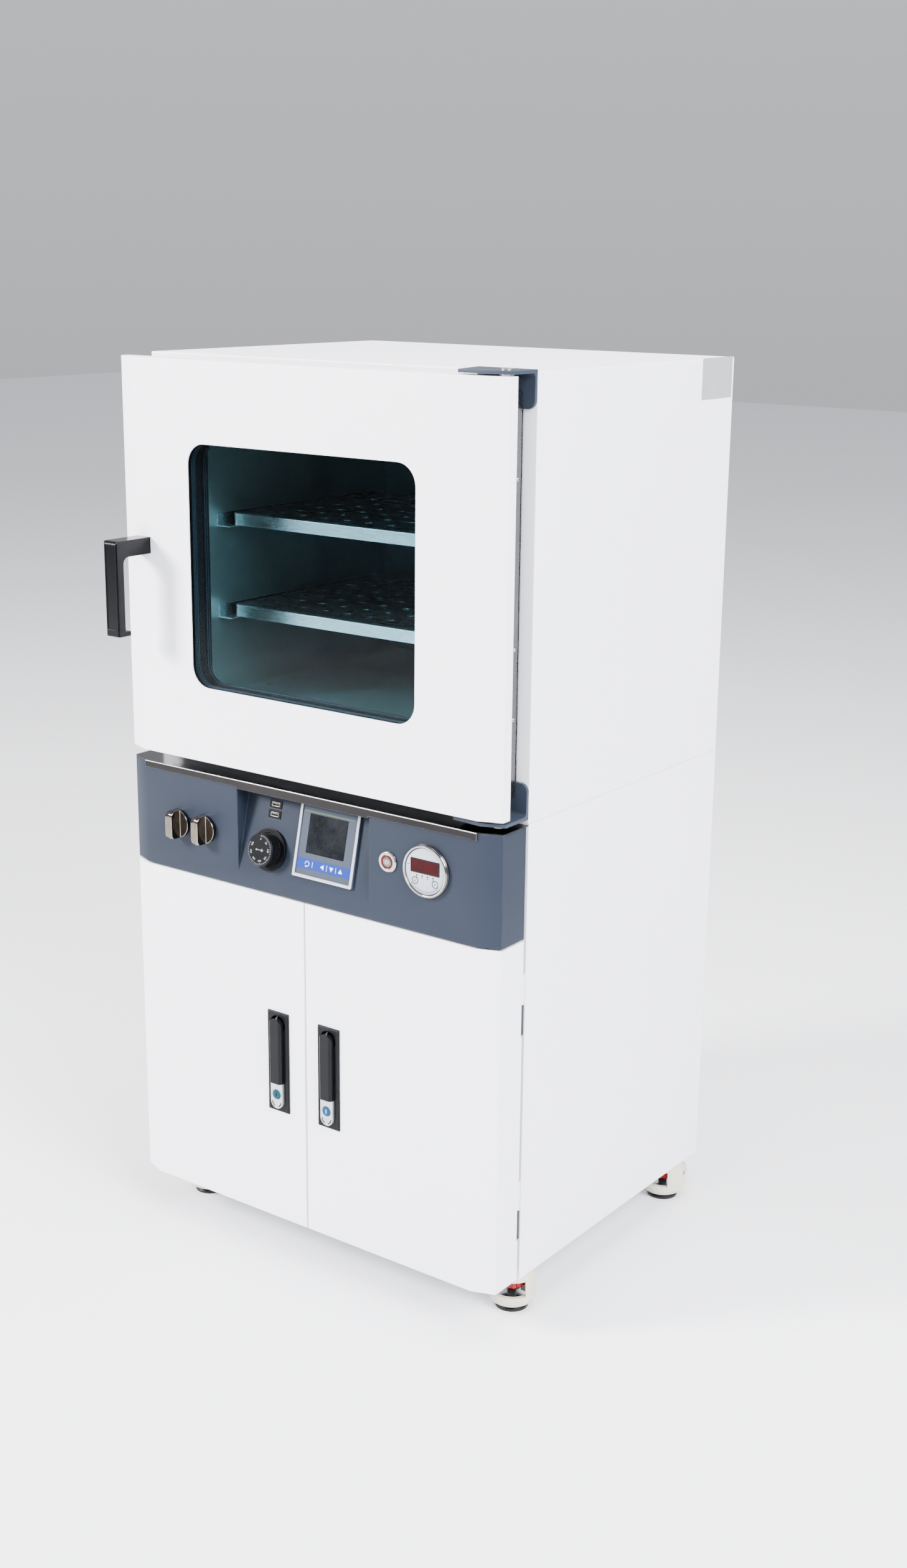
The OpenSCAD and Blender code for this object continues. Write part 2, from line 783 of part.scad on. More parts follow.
// plan of a hinge plate's leg, following the bevel of the door
module plate_plan() {
    back_x = half_w - plate_w - 1;
    polygon([[back_x, 0], [back_x + 10, -front_depth + 8], [half_w - bevel_w, -front_depth + 5],
        [half_w - 1, -front_depth + bevel_d + 5], [half_w - 1, 0]]);
}

// folded plate: a leg flat on the body and a leg over or under the door
plate_r = 10;

module hinge_plate() {
    bend_r = 5;
    back_x = half_w - plate_w - 1;
    difference() {
        union() {
            linear_extrude(plate_t) plate_plan();
            translate([half_w - 1 - plate_w / 2, 0, 0]) slab(-plate_t, plate_t) difference() {
                translate([-plate_w / 2, 0]) square([plate_w, plate_h]);
                for (s = [-1, 1]) translate([s * (plate_w / 2 - plate_r), plate_h - plate_r]) difference() {
                    translate([s > 0 ? 0 : -plate_r - 1, 0]) square([plate_r + 1, plate_r + 1]);
                    circle(r = plate_r);
                }
            }
            difference() {
                block([back_x, -plate_t - bend_r, plate_t - eps], [half_w - 1, -plate_t + eps, plate_t + bend_r]);
                translate([half_w, -plate_t - bend_r, plate_t + bend_r])
                    rod_x(bend_r, 2 * plate_w + 20);
            }
        }
        translate([pivot_x, pivot_y, -1]) cylinder(r = pivot_r + 0.02, h = plate_t + 2);
    }
}

module hinge_plate_bottom() {
    color(plate_blue) place() translate([0, 0, low_plate_z]) hinge_plate();
}

module hinge_plate_top() {
    color(plate_blue) place() translate([0, 0, high_plate_z + plate_t]) mirror([0, 0, 1]) hinge_plate();
}

pin_depth = 18;
module hinge_pins() {
    color(steel) place() translate([pivot_x, pivot_y, 0]) {
        translate([0, 0, low_plate_z]) cylinder(r = pivot_r, h = plate_t + door_foot_gap + pin_depth);
        translate([0, 0, low_plate_z - 2]) cylinder(r = pivot_r + 2.5, h = 2);
        translate([0, 0, low_plate_z + plate_t]) cylinder(r = pivot_r + 3, h = door_foot_gap - seat_gap);
        translate([0, 0, door_top - pin_depth]) cylinder(r = pivot_r, h = pin_depth + door_gap + plate_t);
        translate([0, 0, high_plate_z + plate_t]) cylinder(r = pivot_r + 2.5, h = 2);
        translate([0, 0, door_top + seat_gap]) cylinder(r = pivot_r + 3, h = door_gap - seat_gap);
    }
}

corner_y = door_y + bevel_d;
return_y = corner_y + return_d;
pin_block = 11;
module oven_door_skin() {
    color(white) place() difference() {
        union() {
            front_pan(-half_w, half_w, door_z, door_h, door_depth, -return_y);
            // blocks that the hinge pins turn in
            for (z = [door_z + sheet - eps, door_top - sheet - pin_depth - 4 + eps]) translate([0, 0, z])
                block([pivot_x - pin_block, pivot_y - pin_block, 0], [half_w - sheet + eps, return_y, pin_depth + 4]);
        }
        translate([0, 0, window_z]) slab(door_y - 1, sheet + 2) rounded(window_w, window_h, window_r);
        for (z = [door_z - 1, door_top - pin_depth - 1]) translate([pivot_x, pivot_y, z])
            cylinder(r = pivot_r + run_fit, h = pin_depth + 2);
        translate([latch_x, 0, latch_z]) rod_y(latch_r + 1, door_y - 1, sheet + 2);
    }
}

frame_w = cab_w - 2 * frame_inset;
frame_h = door_h - 2 * frame_inset;
frame_back = 3;
frame_rear = -gasket_t + 0.7;
glass_w = chamber_w + 2 * gasket_w + 28;
glass_h = chamber_h + 2 * gasket_w + 28;
// stainless pan behind the skin: a deep rim, a back plate round the glass and the latch bush
module oven_door_frame() {
    rim = 1.5;
    front = door_y + sheet + seat_gap;
    color(steel) place() difference() {
        intersection() {
            union() {
                translate([0, 0, door_z + door_h / 2]) {
                    slab(front, frame_rear - front) ring_sketch(frame_w, frame_h, 3, rim);
                    slab(frame_rear - frame_back, frame_back) rounded(frame_w, frame_h, 3);
                    slab(front, rim) ring_sketch(frame_w, frame_h, 3, 12);
                }
                translate([latch_x, 0, latch_z]) rod_y(latch_r + 5, front, frame_rear - front);
            }
            // the rim follows the bevel of the skin
            translate([0, 0, door_z]) linear_extrude(door_h)
                polygon(front_plan(-half_w, half_w, door_depth, 0, sheet + seat_gap));
        }
        translate([0, 0, window_z]) slab(frame_rear - frame_back - 1, frame_back + 2)
            rounded(glass_w + 2 * seat_gap, glass_h + 2 * seat_gap, 12 + seat_gap);
        translate([latch_x, 0, latch_z]) rod_y(latch_r + run_fit, door_y, door_depth);
        // clear of the hinge blocks
        for (z = [door_z, door_top - pin_depth - 5]) block(
            [pivot_x - pin_block - 1, pivot_y - pin_block - 1, z - 1],
            [half_w, max(return_y, pivot_y + pivot_r) + 1, z + pin_depth + 6]);
    }
}

module window_pane() {
    color(teal) place() translate([0, 0, window_z]) slab(pane_y, pane_t)
        rounded(window_w + 2 * pane_lap, window_h + 2 * pane_lap, window_r + 6);
}

module window_glass() {
    color(teal) place() translate([0, 0, window_z]) slab(glass_y, glass_t) rounded(glass_w, glass_h, 12);
}

// stepped spacer between the two panes
module window_seal() {
    y0 = pane_y + pane_t;
    depth = (glass_y - y0) / 3;
    outer_w = window_w + 2 * pane_lap;
    outer_h = window_h + 2 * pane_lap;
    color([0.12, 0.16, 0.17]) place() translate([0, 0, window_z]) for (i = [0 : 2])
        slab(y0 + i * depth, depth + (i < 2 ? eps : 0))
            ring_sketch(outer_w, outer_h, window_r + 6, pane_lap - (i == 1 ? 2 : 0.5));
}

// seen from the side: an arm from the door, a grip that hangs from it and a lip at its end
module handle_side() {
    z1 = arm_h / 2;
    z0 = z1 - grip_l;
    y0 = -handle_out;
    r = 5;
    fillet = 9;
    difference() {
        union() {
            translate([y0 + r, z1 - r]) circle(r = r);
            translate([y0 + r, -z1]) square([handle_out - r - 0.4, arm_h]);
            translate([y0, z0 + 1]) square([grip_t, z1 - r - z0 - 1]);
            translate([y0 + 1, z0]) square([grip_t + 8, 6]);
            translate([y0, z0 + 1]) square([grip_t + 9, 4]);
            translate([y0 + grip_t - eps, -z1 - fillet]) square([fillet + eps, fillet + eps]);
        }
        translate([y0 + grip_t + fillet, -z1 - fillet]) circle(r = fillet);
    }
}

module oven_handle() {
    rim = 2.6;
    color(black) place() translate([latch_x, door_y, latch_z]) difference() {
        intersection() {
            profile_x(-handle_w / 2, handle_w) handle_side();
            // the grip is eased at its long edges
            union() {
                block([-handle_w / 2, -handle_out + 1.5, -grip_l], [handle_w / 2, 0, arm_h]);
                block([-handle_w / 2 + 1.5, -handle_out, -grip_l], [handle_w / 2 - 1.5, 0, arm_h]);
            }
        }
        rod_y(latch_r + 0.02, -22, 30);
        // shallow pocket in the front of the grip
        translate([0, 0, arm_h / 2 - grip_l / 2 + 2]) slab(-handle_out - 1, 2)
            rounded(handle_w - 2 * rim, grip_l - 2 * rim - 8, 2);
    }
}

tongue_w = 11;
tongue_h = 28;
tongue_t = 4;
module oven_latch() {
    tongue_y = sheet + 2 + 1;
    color(steel) place() translate([latch_x, 0, latch_z]) {
        rod_y(latch_r, door_y - 21.5, frame_rear + 1.5 - door_y + 21.5);
        rod_y(tongue_w / 2, frame_rear, tongue_y - frame_rear);
        slab(tongue_y - eps, tongue_t) rounded(tongue_w, tongue_h, tongue_w / 2 - 0.1);
    }
}

// ---------- lower doors ----------

module barrel_cut(z) {
    block([half_w - 2 * barrel_r - 1.5, leaf_y - barrel_r - 2, z - 1], [half_w + 1, 1, z + leaf_h + 1]);
}

// door on the right of the centre line between x0 and the side of the body
module cabinet_door(x0, lock) {
    half = leaf_h / 2;
    difference() {
        union() {
            difference() {
                front_pan(x0, half_w, cab_door_z, cab_door_h, front_depth, seam_gap);
                // shallow return where the doors meet
                block([x0 - 1, panel_y + stile_d, cab_door_z + sheet], [x0 + sheet + 1, 0, cab_door_z + cab_door_h - sheet]);
                for (z = [leaf_low, leaf_high]) barrel_cut(cab_door_z + z);
            }
            // leaf and barrel of each hinge, on the upper half
            for (z = [leaf_low, leaf_high]) translate([0, 0, cab_door_z + z]) {
                block([half_w - 2 * sheet - 0.2, -34, 0], [half_w - sheet + eps, leaf_y - barrel_r - 2 - eps, leaf_h]);
                block([half_w - 2 * sheet - 0.2, -34, half + 0.3], [half_w - sheet - 0.5, leaf_y, leaf_h - 0.3]);
                translate([leaf_x, leaf_y, half + 0.3]) cylinder(r = barrel_r, h = half - 0.6);
            }
        }
        for (z = [leaf_low, leaf_high]) translate([leaf_x, leaf_y, cab_door_z + z + 1])
            cylinder(r = leaf_pin_r + run_fit, h = leaf_h - 4);
        translate([lock, 0, cab_door_z + lock_z + lock_h / 2]) slab(panel_y - 1, sheet + 2)
            rounded(body_w + 2 * seat_gap, body_h + 2 * seat_gap, 1.2);
    }
}

module cabinet_door_right() {
    color(white) place() cabinet_door(split_x + split_gap / 2, lock_x);
}

module cabinet_door_left() {
    color(white) place() mirror([1, 0, 0]) cabinet_door(-split_x + split_gap / 2, lock_x);
}

// leaves on the frame, each with the lower barrel and the pin
module cabinet_hinges() {
    half = leaf_h / 2;
    color(steel) place() mirrored() for (z = [leaf_low, leaf_high]) translate([0, 0, cab_door_z + z]) {
        block([half_w - 24, -1.2, 1], [leaf_x, 0, half - 0.3]);
        difference() {
            block([leaf_x - barrel_r, leaf_y, 1], [leaf_x, 0, half - 0.3]);
            translate([leaf_x, leaf_y, 0]) cylinder(r = leaf_pin_r, h = half);
        }
        translate([leaf_x, leaf_y, 1]) cylinder(r = barrel_r, h = half - 1.3);
        translate([leaf_x, leaf_y, half - 1]) cylinder(r = leaf_pin_r, h = half - 3);
    }
}

// ---------- locks ----------

body_w = lock_w - 10;
body_h = lock_h - 8;
body_d = 24;
well_r = 12.5;
well_d = 8;
spindle_z = lock_h - 17;
spindle_r = 5;
joint_r = 2.8;
flip_r = 1.5;
lever_gap = 0.4;
lever_y = -lock_t - lever_gap - lever_t;
flip_y = -lock_t - lever_gap - joint_r;
release_top = lock_h - 98.5;

// origin at the foot of the plate, on the door's face
module at_lock(s) {
    place() translate([s * lock_x, panel_y, cab_door_z + lock_z]) children();
}

module release_sketch(w, h) {
    translate([-w / 2, -h + w / 2]) square([w, h - w / 2]);
    translate([0, -h + w / 2]) circle(r = w / 2);
}

module lock_body() {
    bevel = 2;
    difference() {
        union() {
            hull() {
                translate([0, 0, lock_h / 2]) slab(-1, 1) square([lock_w, lock_h], center = true);
                translate([0, 0, lock_h / 2]) slab(-lock_t, 1)
                    square([lock_w - bevel, lock_h - bevel], center = true);
            }
            translate([0, 0, lock_h / 2]) slab(-1, body_d + 1) rounded(body_w, body_h, 1);
        }
        translate([0, 0, spindle_z]) {
            rod_y(well_r, -lock_t - 1, well_d + 1);
            rod_y(spindle_r + run_fit, -lock_t, body_d + 10);
        }
        translate([0, 0, release_top + seat_gap]) slab(-lock_t - 1, 18)
            release_sketch(release_w + 2 * seat_gap, release_h + 2 * seat_gap);
    }
}

// shaft, its forked head with the flip pin, and the cam that turns behind the keeper post
module lock_spindle() {
    well_y = -lock_t + well_d;
    cam_l = 30;
    translate([0, 0, spindle_z]) {
        rod_y(spindle_r, well_y - 1, body_d - well_y + 4.5);
        rod_y(well_r - 3, well_y - 3, 3 - seat_gap);
        block([-3.8, flip_y, -joint_r], [3.8, well_y - 1, joint_r]);
        translate([0, flip_y, 0]) rod_x(joint_r, 7.6);
        translate([0, flip_y, 0]) rod_x(flip_r, 16);
        slab(body_d + 0.5, 3) {
            translate([-7, 0]) square([14, cam_l]);
            circle(r = 7);
        }
    }
}

module lock_lever() {
    top_r = lever_w / 2;
    translate([0, 0, spindle_z]) difference() {
        intersection() {
            slab(lever_y, lever_t) {
                circle(r = top_r);
                translate([-lever_w / 2, -lever_l + top_r]) square([lever_w, lever_l - top_r]);
            }
            // bevelled long edges
            translate([0, 0, -lever_l]) linear_extrude(2 * lever_l) polygon([
                [-lever_w / 2, lever_y + lever_t], [lever_w / 2, lever_y + lever_t], [lever_w / 2, lever_y + 3],
                [lever_w / 2 - 3, lever_y], [-lever_w / 2 + 3, lever_y], [-lever_w / 2, lever_y + 3]]);
        }
        translate([0, flip_y, 0]) rod_x(flip_r + run_fit, 16.4);
        block([-4.1, flip_y - joint_r - 0.1, -joint_r - 0.4], [4.1, 0, top_r + 1]);
    }
}

module lock_release() {
    translate([0, 0, release_top]) difference() {
        slab(-lock_t - 3.5, 16) release_sketch(release_w, release_h);
        translate([0, 0, -release_h / 2 + 2]) slab(-lock_t - 4, 1) circle(r = 7);
    }
}

module lock_body_left() {
    color(black) at_lock(-1) lock_body();
}

module lock_body_right() {
    color(black) at_lock(1) lock_body();
}

module lock_spindle_left() {
    color(steel) at_lock(-1) lock_spindle();
}

module lock_spindle_right() {
    color(steel) at_lock(1) lock_spindle();
}

module lock_lever_left() {
    color(black) at_lock(-1) lock_lever();
}

module lock_lever_right() {
    color(black) at_lock(1) lock_lever();
}

module lock_release_left() {
    color(chrome) at_lock(-1) lock_release();
}

module lock_release_right() {
    color(chrome) at_lock(1) lock_release();
}

// ---------- castors ----------

cup_z0 = 8;
top_plate = 4;
cup_top = base_z - top_plate - 2;
axle_z = wheel_lift + wheel_r;
axle_r = 3;
cheek_t = 3;
screw_r = 6;

// places a castor at a corner, turned to its rest direction
module at_castor(side, back) {
    place() translate([side * (half_w - castor_inset_x), back * cab_d + (1 - 2 * back) * castor_inset_y, 0])
        rotate([0, 0, side * (back > 0 ? castor_yaw_rear : castor_yaw_front)]) children();
}

// cup round the foot with a window in front, and two cheeks that hold the wheel behind
module castor_cup() {
    cheek_x = wheel_w / 2 + 1;
    difference() {
        union() {
            rotate_extrude() polygon([[0, cup_z0], [cup_r - 5, cup_z0], [cup_r - 1.5, cup_z0 + 2.5], [cup_r, cup_z0 + 7],
                [cup_r, cup_top - 6], [cup_r - 3, cup_top - 1.5], [cup_r - 6, cup_top], [0, cup_top]]);
            for (s = [-1, 1]) translate([s * (cheek_x + cheek_t / 2) - cheek_t / 2, 0, 0]) profile_x(0, cheek_t) {
                translate([castor_trail, axle_z]) circle(r = 11);
                polygon([[cup_r - 12, cup_z0 + 2], [castor_trail, axle_z - 11], [castor_trail + 8, axle_z + 7.5],
                    [cup_r - 4, cup_top - 3], [cup_r - 12, cup_top - 3]]);
            }
        }
        // room for the pad and its thumbwheel
        translate([0, 0, cup_z0 - 1]) cylinder(r = pad_r + 2, h = cup_top - cup_z0 - cup_wall + 1);
        // window
        translate([0, -cup_r, 0]) slab(-1, 16) translate([0, 34]) square([40, 22], center = true);
        // room for the wheel
        block([-cheek_x, 14, 0], [cheek_x, castor_trail + 30, cup_top - cup_wall - 3]);
        translate([0, 0, cup_top - cup_wall - 1]) cylinder(r = screw_r + run_fit, h = cup_wall + 2);
        translate([0, castor_trail, axle_z]) rod_x(axle_r + run_fit, 60);
    }
}

module castor_wheel() {
    translate([0, castor_trail, axle_z]) {
        rod_x(axle_r, wheel_w + 2 + 2 * cheek_t + 1);
        rotate([0, 90, 0]) rotate_extrude() polygon([[0, -wheel_w / 2], [wheel_r - 2, -wheel_w / 2],
            [wheel_r, -wheel_w / 2 + 2], [wheel_r, wheel_w / 2 - 2], [wheel_r - 2, wheel_w / 2], [0, wheel_w / 2]]);
    }
}

// pad, screw and the fluted thumbwheel that winds them down
module castor_foot() {
    thumb_r = 19;
    thumb_z = 32;
    rotate_extrude() polygon([[0, 0], [pad_r, 0], [pad_r, 3], [pad_r - 2, 5], [12, 9], [screw_r, 12], [0, 12]]);
    cylinder(r = screw_r, h = cup_top);
    difference() {
        translate([0, 0, thumb_z]) cylinder(r = thumb_r, h = 9);
        for (a = [0 : 30 : 330]) rotate([0, 0, a]) translate([thumb_r + 1.5, 0, thumb_z - 1]) cylinder(r = 3.5, h = 11);
    }
}

module castor_cup_front_left() {
    color(ivory) at_castor(-1, 0) castor_cup();
}

module castor_cup_front_right() {
    color(ivory) at_castor(1, 0) castor_cup();
}

module castor_cup_rear_left() {
    color(ivory) at_castor(-1, 1) castor_cup();
}

module castor_cup_rear_right() {
    color(ivory) at_castor(1, 1) castor_cup();
}

module castor_wheel_front_left() {
    color(black) at_castor(-1, 0) castor_wheel();
}

module castor_wheel_front_right() {
    color(black) at_castor(1, 0) castor_wheel();
}

module castor_wheel_rear_left() {
    color(black) at_castor(-1, 1) castor_wheel();
}

module castor_wheel_rear_right() {
    color(black) at_castor(1, 1) castor_wheel();
}

module castor_foot_front_left() {
    color(red) at_castor(-1, 0) castor_foot();
}

module castor_foot_front_right() {
    color(red) at_castor(1, 0) castor_foot();
}

module castor_foot_rear_left() {
    color(red) at_castor(-1, 1) castor_foot();
}

module castor_foot_rear_right() {
    color(red) at_castor(1, 1) castor_foot();
}

// ---------- inside and back ----------

gland_r = 8;
module power_inlet() {
    color(black) place() translate([gland_x, cab_d, gland_z]) {
        rod_y(gland_r, -8, 20);
        translate([0, sheet, 0]) rotate([-90, 0, 0]) cylinder(r = gland_r + 4, h = 6, $fn = 6);
        translate([0, sheet + 6, 0]) rotate([-90, 0, 0]) cylinder(r1 = gland_r + 3, r2 = gland_r, h = 9);
        translate([0, -6, 0]) rotate([-90, 0, 0]) cylinder(r = gland_r + 4, h = 6, $fn = 6);
    }
}

// relay board on its posts over the deck
board_y = 180;
module control_board() {
    board_w = 200;
    board_d = 110;
    board_t = 1.6;
    stand = 10;
    edge = 8;
    relay_pitch = 17;
    color([0.15, 0.4, 0.25]) place() translate([-20, board_y, deck_z]) {
        for (x = [edge, board_w - edge], y = [edge, board_d - edge])
            translate([x, y, 0]) cylinder(r = 3, h = stand + eps);
        translate([0, 0, stand]) cube([board_w, board_d, board_t]);
        translate([20, 20, stand + 1]) cube([45, 60, 28]);
        translate([80, 30, stand + 1]) cube([50, 45, 22]);
        for (i = [0 : 4]) translate([145, 15 + i * relay_pitch, stand + 1]) cube([35, 12, 14]);
    }
}

lower_cabinet();
upper_case();
lower_back_cover();
upper_back_cover();
front_frame();
chamber();
insulation();
heater_mats();
shelf_lower();
shelf_upper();
shelf_supports();
door_gasket();
ledge_trim();
control_panel();
controller();
usb_sockets();
overtemp_base();
overtemp_dial();
valve_knob_inlet();
valve_knob_vacuum();
vacuum_pipework();
power_bezel();
power_button();
vacuum_gauge();
hinge_plate_top();
hinge_plate_bottom();
hinge_pins();
control_board();
power_inlet();
oven_door_skin();
oven_door_frame();
window_pane();
window_glass();
window_seal();
oven_handle();
oven_latch();
cabinet_door_left();
cabinet_door_right();
cabinet_hinges();
lock_body_left();
lock_body_right();
lock_spindle_left();
lock_spindle_right();
lock_lever_left();
lock_lever_right();
lock_release_left();
lock_release_right();
castor_cup_front_left();
castor_cup_front_right();
castor_cup_rear_left();
castor_cup_rear_right();
castor_wheel_front_left();
castor_wheel_front_right();
castor_wheel_rear_left();
castor_wheel_rear_right();
castor_foot_front_left();
castor_foot_front_right();
castor_foot_rear_left();
castor_foot_rear_right();
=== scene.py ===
import math

import bmesh
import bpy
from mathutils import Matrix, Vector


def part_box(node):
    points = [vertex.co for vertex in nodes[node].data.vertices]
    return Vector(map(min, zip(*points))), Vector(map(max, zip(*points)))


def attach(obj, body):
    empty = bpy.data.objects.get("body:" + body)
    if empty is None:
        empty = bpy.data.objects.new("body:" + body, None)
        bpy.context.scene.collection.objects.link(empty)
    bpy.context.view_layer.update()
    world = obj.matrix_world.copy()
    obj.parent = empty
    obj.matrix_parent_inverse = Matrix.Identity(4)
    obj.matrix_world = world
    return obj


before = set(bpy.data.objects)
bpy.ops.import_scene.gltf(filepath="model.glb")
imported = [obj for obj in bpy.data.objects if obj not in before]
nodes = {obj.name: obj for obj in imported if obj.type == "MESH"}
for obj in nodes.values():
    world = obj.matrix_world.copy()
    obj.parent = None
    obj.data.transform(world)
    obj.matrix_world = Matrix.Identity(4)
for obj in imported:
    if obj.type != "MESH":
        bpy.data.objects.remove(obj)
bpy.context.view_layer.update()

print("frame loaded:", len(nodes), "nodes")

# Places are in the cabinet's own millimetres: x from the middle, y back from the body's front, z up.
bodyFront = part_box("upper_case")[0].y * 1000


def at(x, y, z):
    return Vector((x, y + bodyFront, z)) / 1000


def middle(name):
    # centre of a node's box in the cabinet's millimetres
    low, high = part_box(name)
    return [(low.x + high.x) * 500, (low.y + high.y) * 500 - bodyFront, (low.z + high.z) * 500]


def frontOf(name):
    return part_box(name)[0].y * 1000 - bodyFront


# Each of these gives a place function for one face: u runs right, v up and n out of the face.

def onFront(x, z, y):
    return lambda u, v, n: at(x + u, y - n, z + v)


def onBack(x, z, y):
    return lambda u, v, n: at(x - u, y + n, z + v)


def onRight(y, z, x):
    return lambda u, v, n: at(x + n, y + u, z + v)


def onTop(x, y, z):
    return lambda u, v, n: at(x + u, y + v, z + n)


consoleSlope = {"tilt": math.radians(13), "foot": 541.5, "front": -63.0}


def onConsole(x, v0):
    c, s = math.cos(consoleSlope["tilt"]), math.sin(consoleSlope["tilt"])

    def place(u, v, n):
        up = v + v0
        return at(x + u, consoleSlope["front"] + up * s - n * c, consoleSlope["foot"] + up * c + n * s)

    return place


# Shader nodes. A socket takes either a number or another node's output.

def feed(tree, socket, value):
    if isinstance(value, bpy.types.NodeSocket):
        tree.links.new(value, socket)
    else:
        socket.default_value = value


def put(tree, kind, settings=None, **sockets):
    # a node with its settings; i0, i1 ... are sockets by number, the rest by label with _ for a space
    n = tree.nodes.new("ShaderNode" + kind)
    for key, value in (settings or {}).items():
        setattr(n, key, value)
    for key, value in sockets.items():
        byNumber = key[0] == "i" and key[1:].isdigit()
        feed(tree, n.inputs[int(key[1:]) if byNumber else key.replace("_", " ")], value)
    return n


def maths(tree, operation, a, b=0.0, clamp=False):
    return put(tree, "Math", {"operation": operation, "use_clamp": clamp}, i0=a, i1=b).outputs[0]


def mixColour(tree, fac, a, b):
    return put(tree, "Mix", {"data_type": "RGBA"}, i0=fac, i6=a, i7=b).outputs[2]


def spread(tree, value, low, high, start=0.3, end=0.7):
    # start and end are about the darkest and lightest that a noise node gives
    n = put(tree, "MapRange", Value=value, To_Min=low, To_Max=high)
    n.inputs["From Min"].default_value, n.inputs["From Max"].default_value = start, end
    return n.outputs[0]


def objectCoord(tree):
    return put(tree, "TexCoord").outputs["Object"]


def newGroup(name, ins, outs):
    group = bpy.data.node_groups.new(name, "ShaderNodeTree")
    for kind, label, value in ins:
        socket = group.interface.new_socket(label, in_out="INPUT", socket_type="NodeSocket" + kind)
        socket.default_value = value
    for kind, label in outs:
        group.interface.new_socket(label, in_out="OUTPUT", socket_type="NodeSocket" + kind)
    return group, group.nodes.new("NodeGroupInput"), group.nodes.new("NodeGroupOutput")


grainSet = {"patchDetail": 4.0, "patchRough": 0.6, "grainDetail": 2.0, "grainRough": 0.55,
            "patchShare": 0.6, "grainShare": 0.4}


def buildGrainGroup():
    # colour that drifts over large patches, with a fine skin such as orange peel or moulding grain
    g, inp, out = newGroup("surfaceGrain", [
        ("Color", "Color", (0.8, 0.8, 0.8, 1)), ("Color", "Shade", (0.7, 0.7, 0.7, 1)),
        ("Float", "Patch Scale", 5.0), ("Float", "Grain Scale", 900.0), ("Vector", "Stretch", (1, 1, 1)),
        ("Float", "Rough Low", 0.3), ("Float", "Rough High", 0.4)],
        [("Color", "Color"), ("Float", "Height"), ("Float", "Roughness")])
    coord = objectCoord(g)
    stretched = put(g, "VectorMath", {"operation": "MULTIPLY"}, i0=coord, i1=inp.outputs["Stretch"])
    patch = put(g, "TexNoise", Vector=coord, Scale=inp.outputs["Patch Scale"],
                Detail=grainSet["patchDetail"], Roughness=grainSet["patchRough"]).outputs[0]
    grain = put(g, "TexNoise", Vector=stretched.outputs[0], Scale=inp.outputs["Grain Scale"],
                Detail=grainSet["grainDetail"], Roughness=grainSet["grainRough"]).outputs[0]
    drift = mixColour(g, spread(g, patch, 0.0, 1.0), inp.outputs["Color"], inp.outputs["Shade"])
    both = maths(g, "ADD", maths(g, "MULTIPLY", patch, grainSet["patchShare"]),
                 maths(g, "MULTIPLY", grain, grainSet["grainShare"]))
    g.links.new(drift, out.inputs["Color"])
    g.links.new(grain, out.inputs["Height"])
    g.links.new(spread(g, both, inp.outputs["Rough Low"], inp.outputs["Rough High"]), out.inputs["Roughness"])
    return g


edgeWearHighlightSet = {"samples": 4, "gain": 6.0, "patchScale": 55.0, "detail": 3.0}


def buildEdgeGroup():
    # lighter colour over an edge: partly where the coat thins and wears, partly a painted highlight where the
    # edge catches the light
    g, inp, out = newGroup("edgeWearAndHighlight", [
        ("Color", "Color", (0.5, 0.5, 0.5, 1)), ("Color", "Rubbed", (0.8, 0.8, 0.8, 1)),
        ("Float", "Radius", 0.0012), ("Float", "Amount", 0.5)],
        [("Color", "Color"), ("Float", "Mask"), ("Vector", "Normal")])
    soft = put(g, "Bevel", {"samples": edgeWearHighlightSet["samples"]}, Radius=inp.outputs["Radius"]).outputs[0]
    flat = put(g, "NewGeometry").outputs["Normal"]
    dot = put(g, "VectorMath", {"operation": "DOT_PRODUCT"}, i0=soft, i1=flat).outputs["Value"]
    turned = maths(g, "MULTIPLY", maths(g, "SUBTRACT", 1.0, dot), edgeWearHighlightSet["gain"], clamp=True)
    patchy = put(g, "TexNoise", Vector=objectCoord(g), Scale=edgeWearHighlightSet["patchScale"],
                 Detail=edgeWearHighlightSet["detail"]).outputs[0]
    mask = maths(g, "MULTIPLY", maths(g, "MULTIPLY", turned, patchy), inp.outputs["Amount"], clamp=True)
    g.links.new(mixColour(g, mask, inp.outputs["Color"], inp.outputs["Rubbed"]), out.inputs["Color"])
    g.links.new(mask, out.inputs["Mask"])
    g.links.new(soft, out.inputs["Normal"])
    return g


dustSet = {"cloudScale": 18.0, "detail": 5.0, "rough": 0.7}


def buildDustGroup():
    # dust that settles on what faces up
    g, inp, out = newGroup("settledDust", [
        ("Color", "Color", (0.5, 0.5, 0.5, 1)), ("Color", "Dust", (0.5, 0.48, 0.45, 1)),
        ("Float", "Amount", 0.2)],
        [("Color", "Color"), ("Float", "Mask")])
    up = put(g, "SeparateXYZ", Vector=put(g, "NewGeometry").outputs["Normal"]).outputs["Z"]
    cloud = put(g, "TexNoise", Vector=objectCoord(g), Scale=dustSet["cloudScale"], Detail=dustSet["detail"],
                Roughness=dustSet["rough"]).outputs[0]
    lying = maths(g, "MULTIPLY", up, cloud, clamp=True)
    mask = maths(g, "MULTIPLY", lying, inp.outputs["Amount"], clamp=True)
    g.links.new(mixColour(g, mask, inp.outputs["Color"], inp.outputs["Dust"]), out.inputs["Color"])
    g.links.new(mask, out.inputs["Mask"])
    return g


groups = {"grain": buildGrainGroup(), "edge": buildEdgeGroup(), "dust": buildDustGroup()}
print("node groups:", len(groups))


def placeGroup(tree, key, **sockets):
    return put(tree, "Group", {"node_tree": groups[key]}, **sockets)


def rgb(*c):
    # screen values of 0 to 255 as linear colour
    return tuple((v / 255 / 12.92 if v <= 10 else ((v / 255 + 0.055) / 1.055) ** 2.4) for v in c) + (1.0,)


plainLook = {"metal": 0.0, "stretch": (1, 1, 1), "depth": 0.0002, "rubAmount": 0.6, "specular": 0.5}


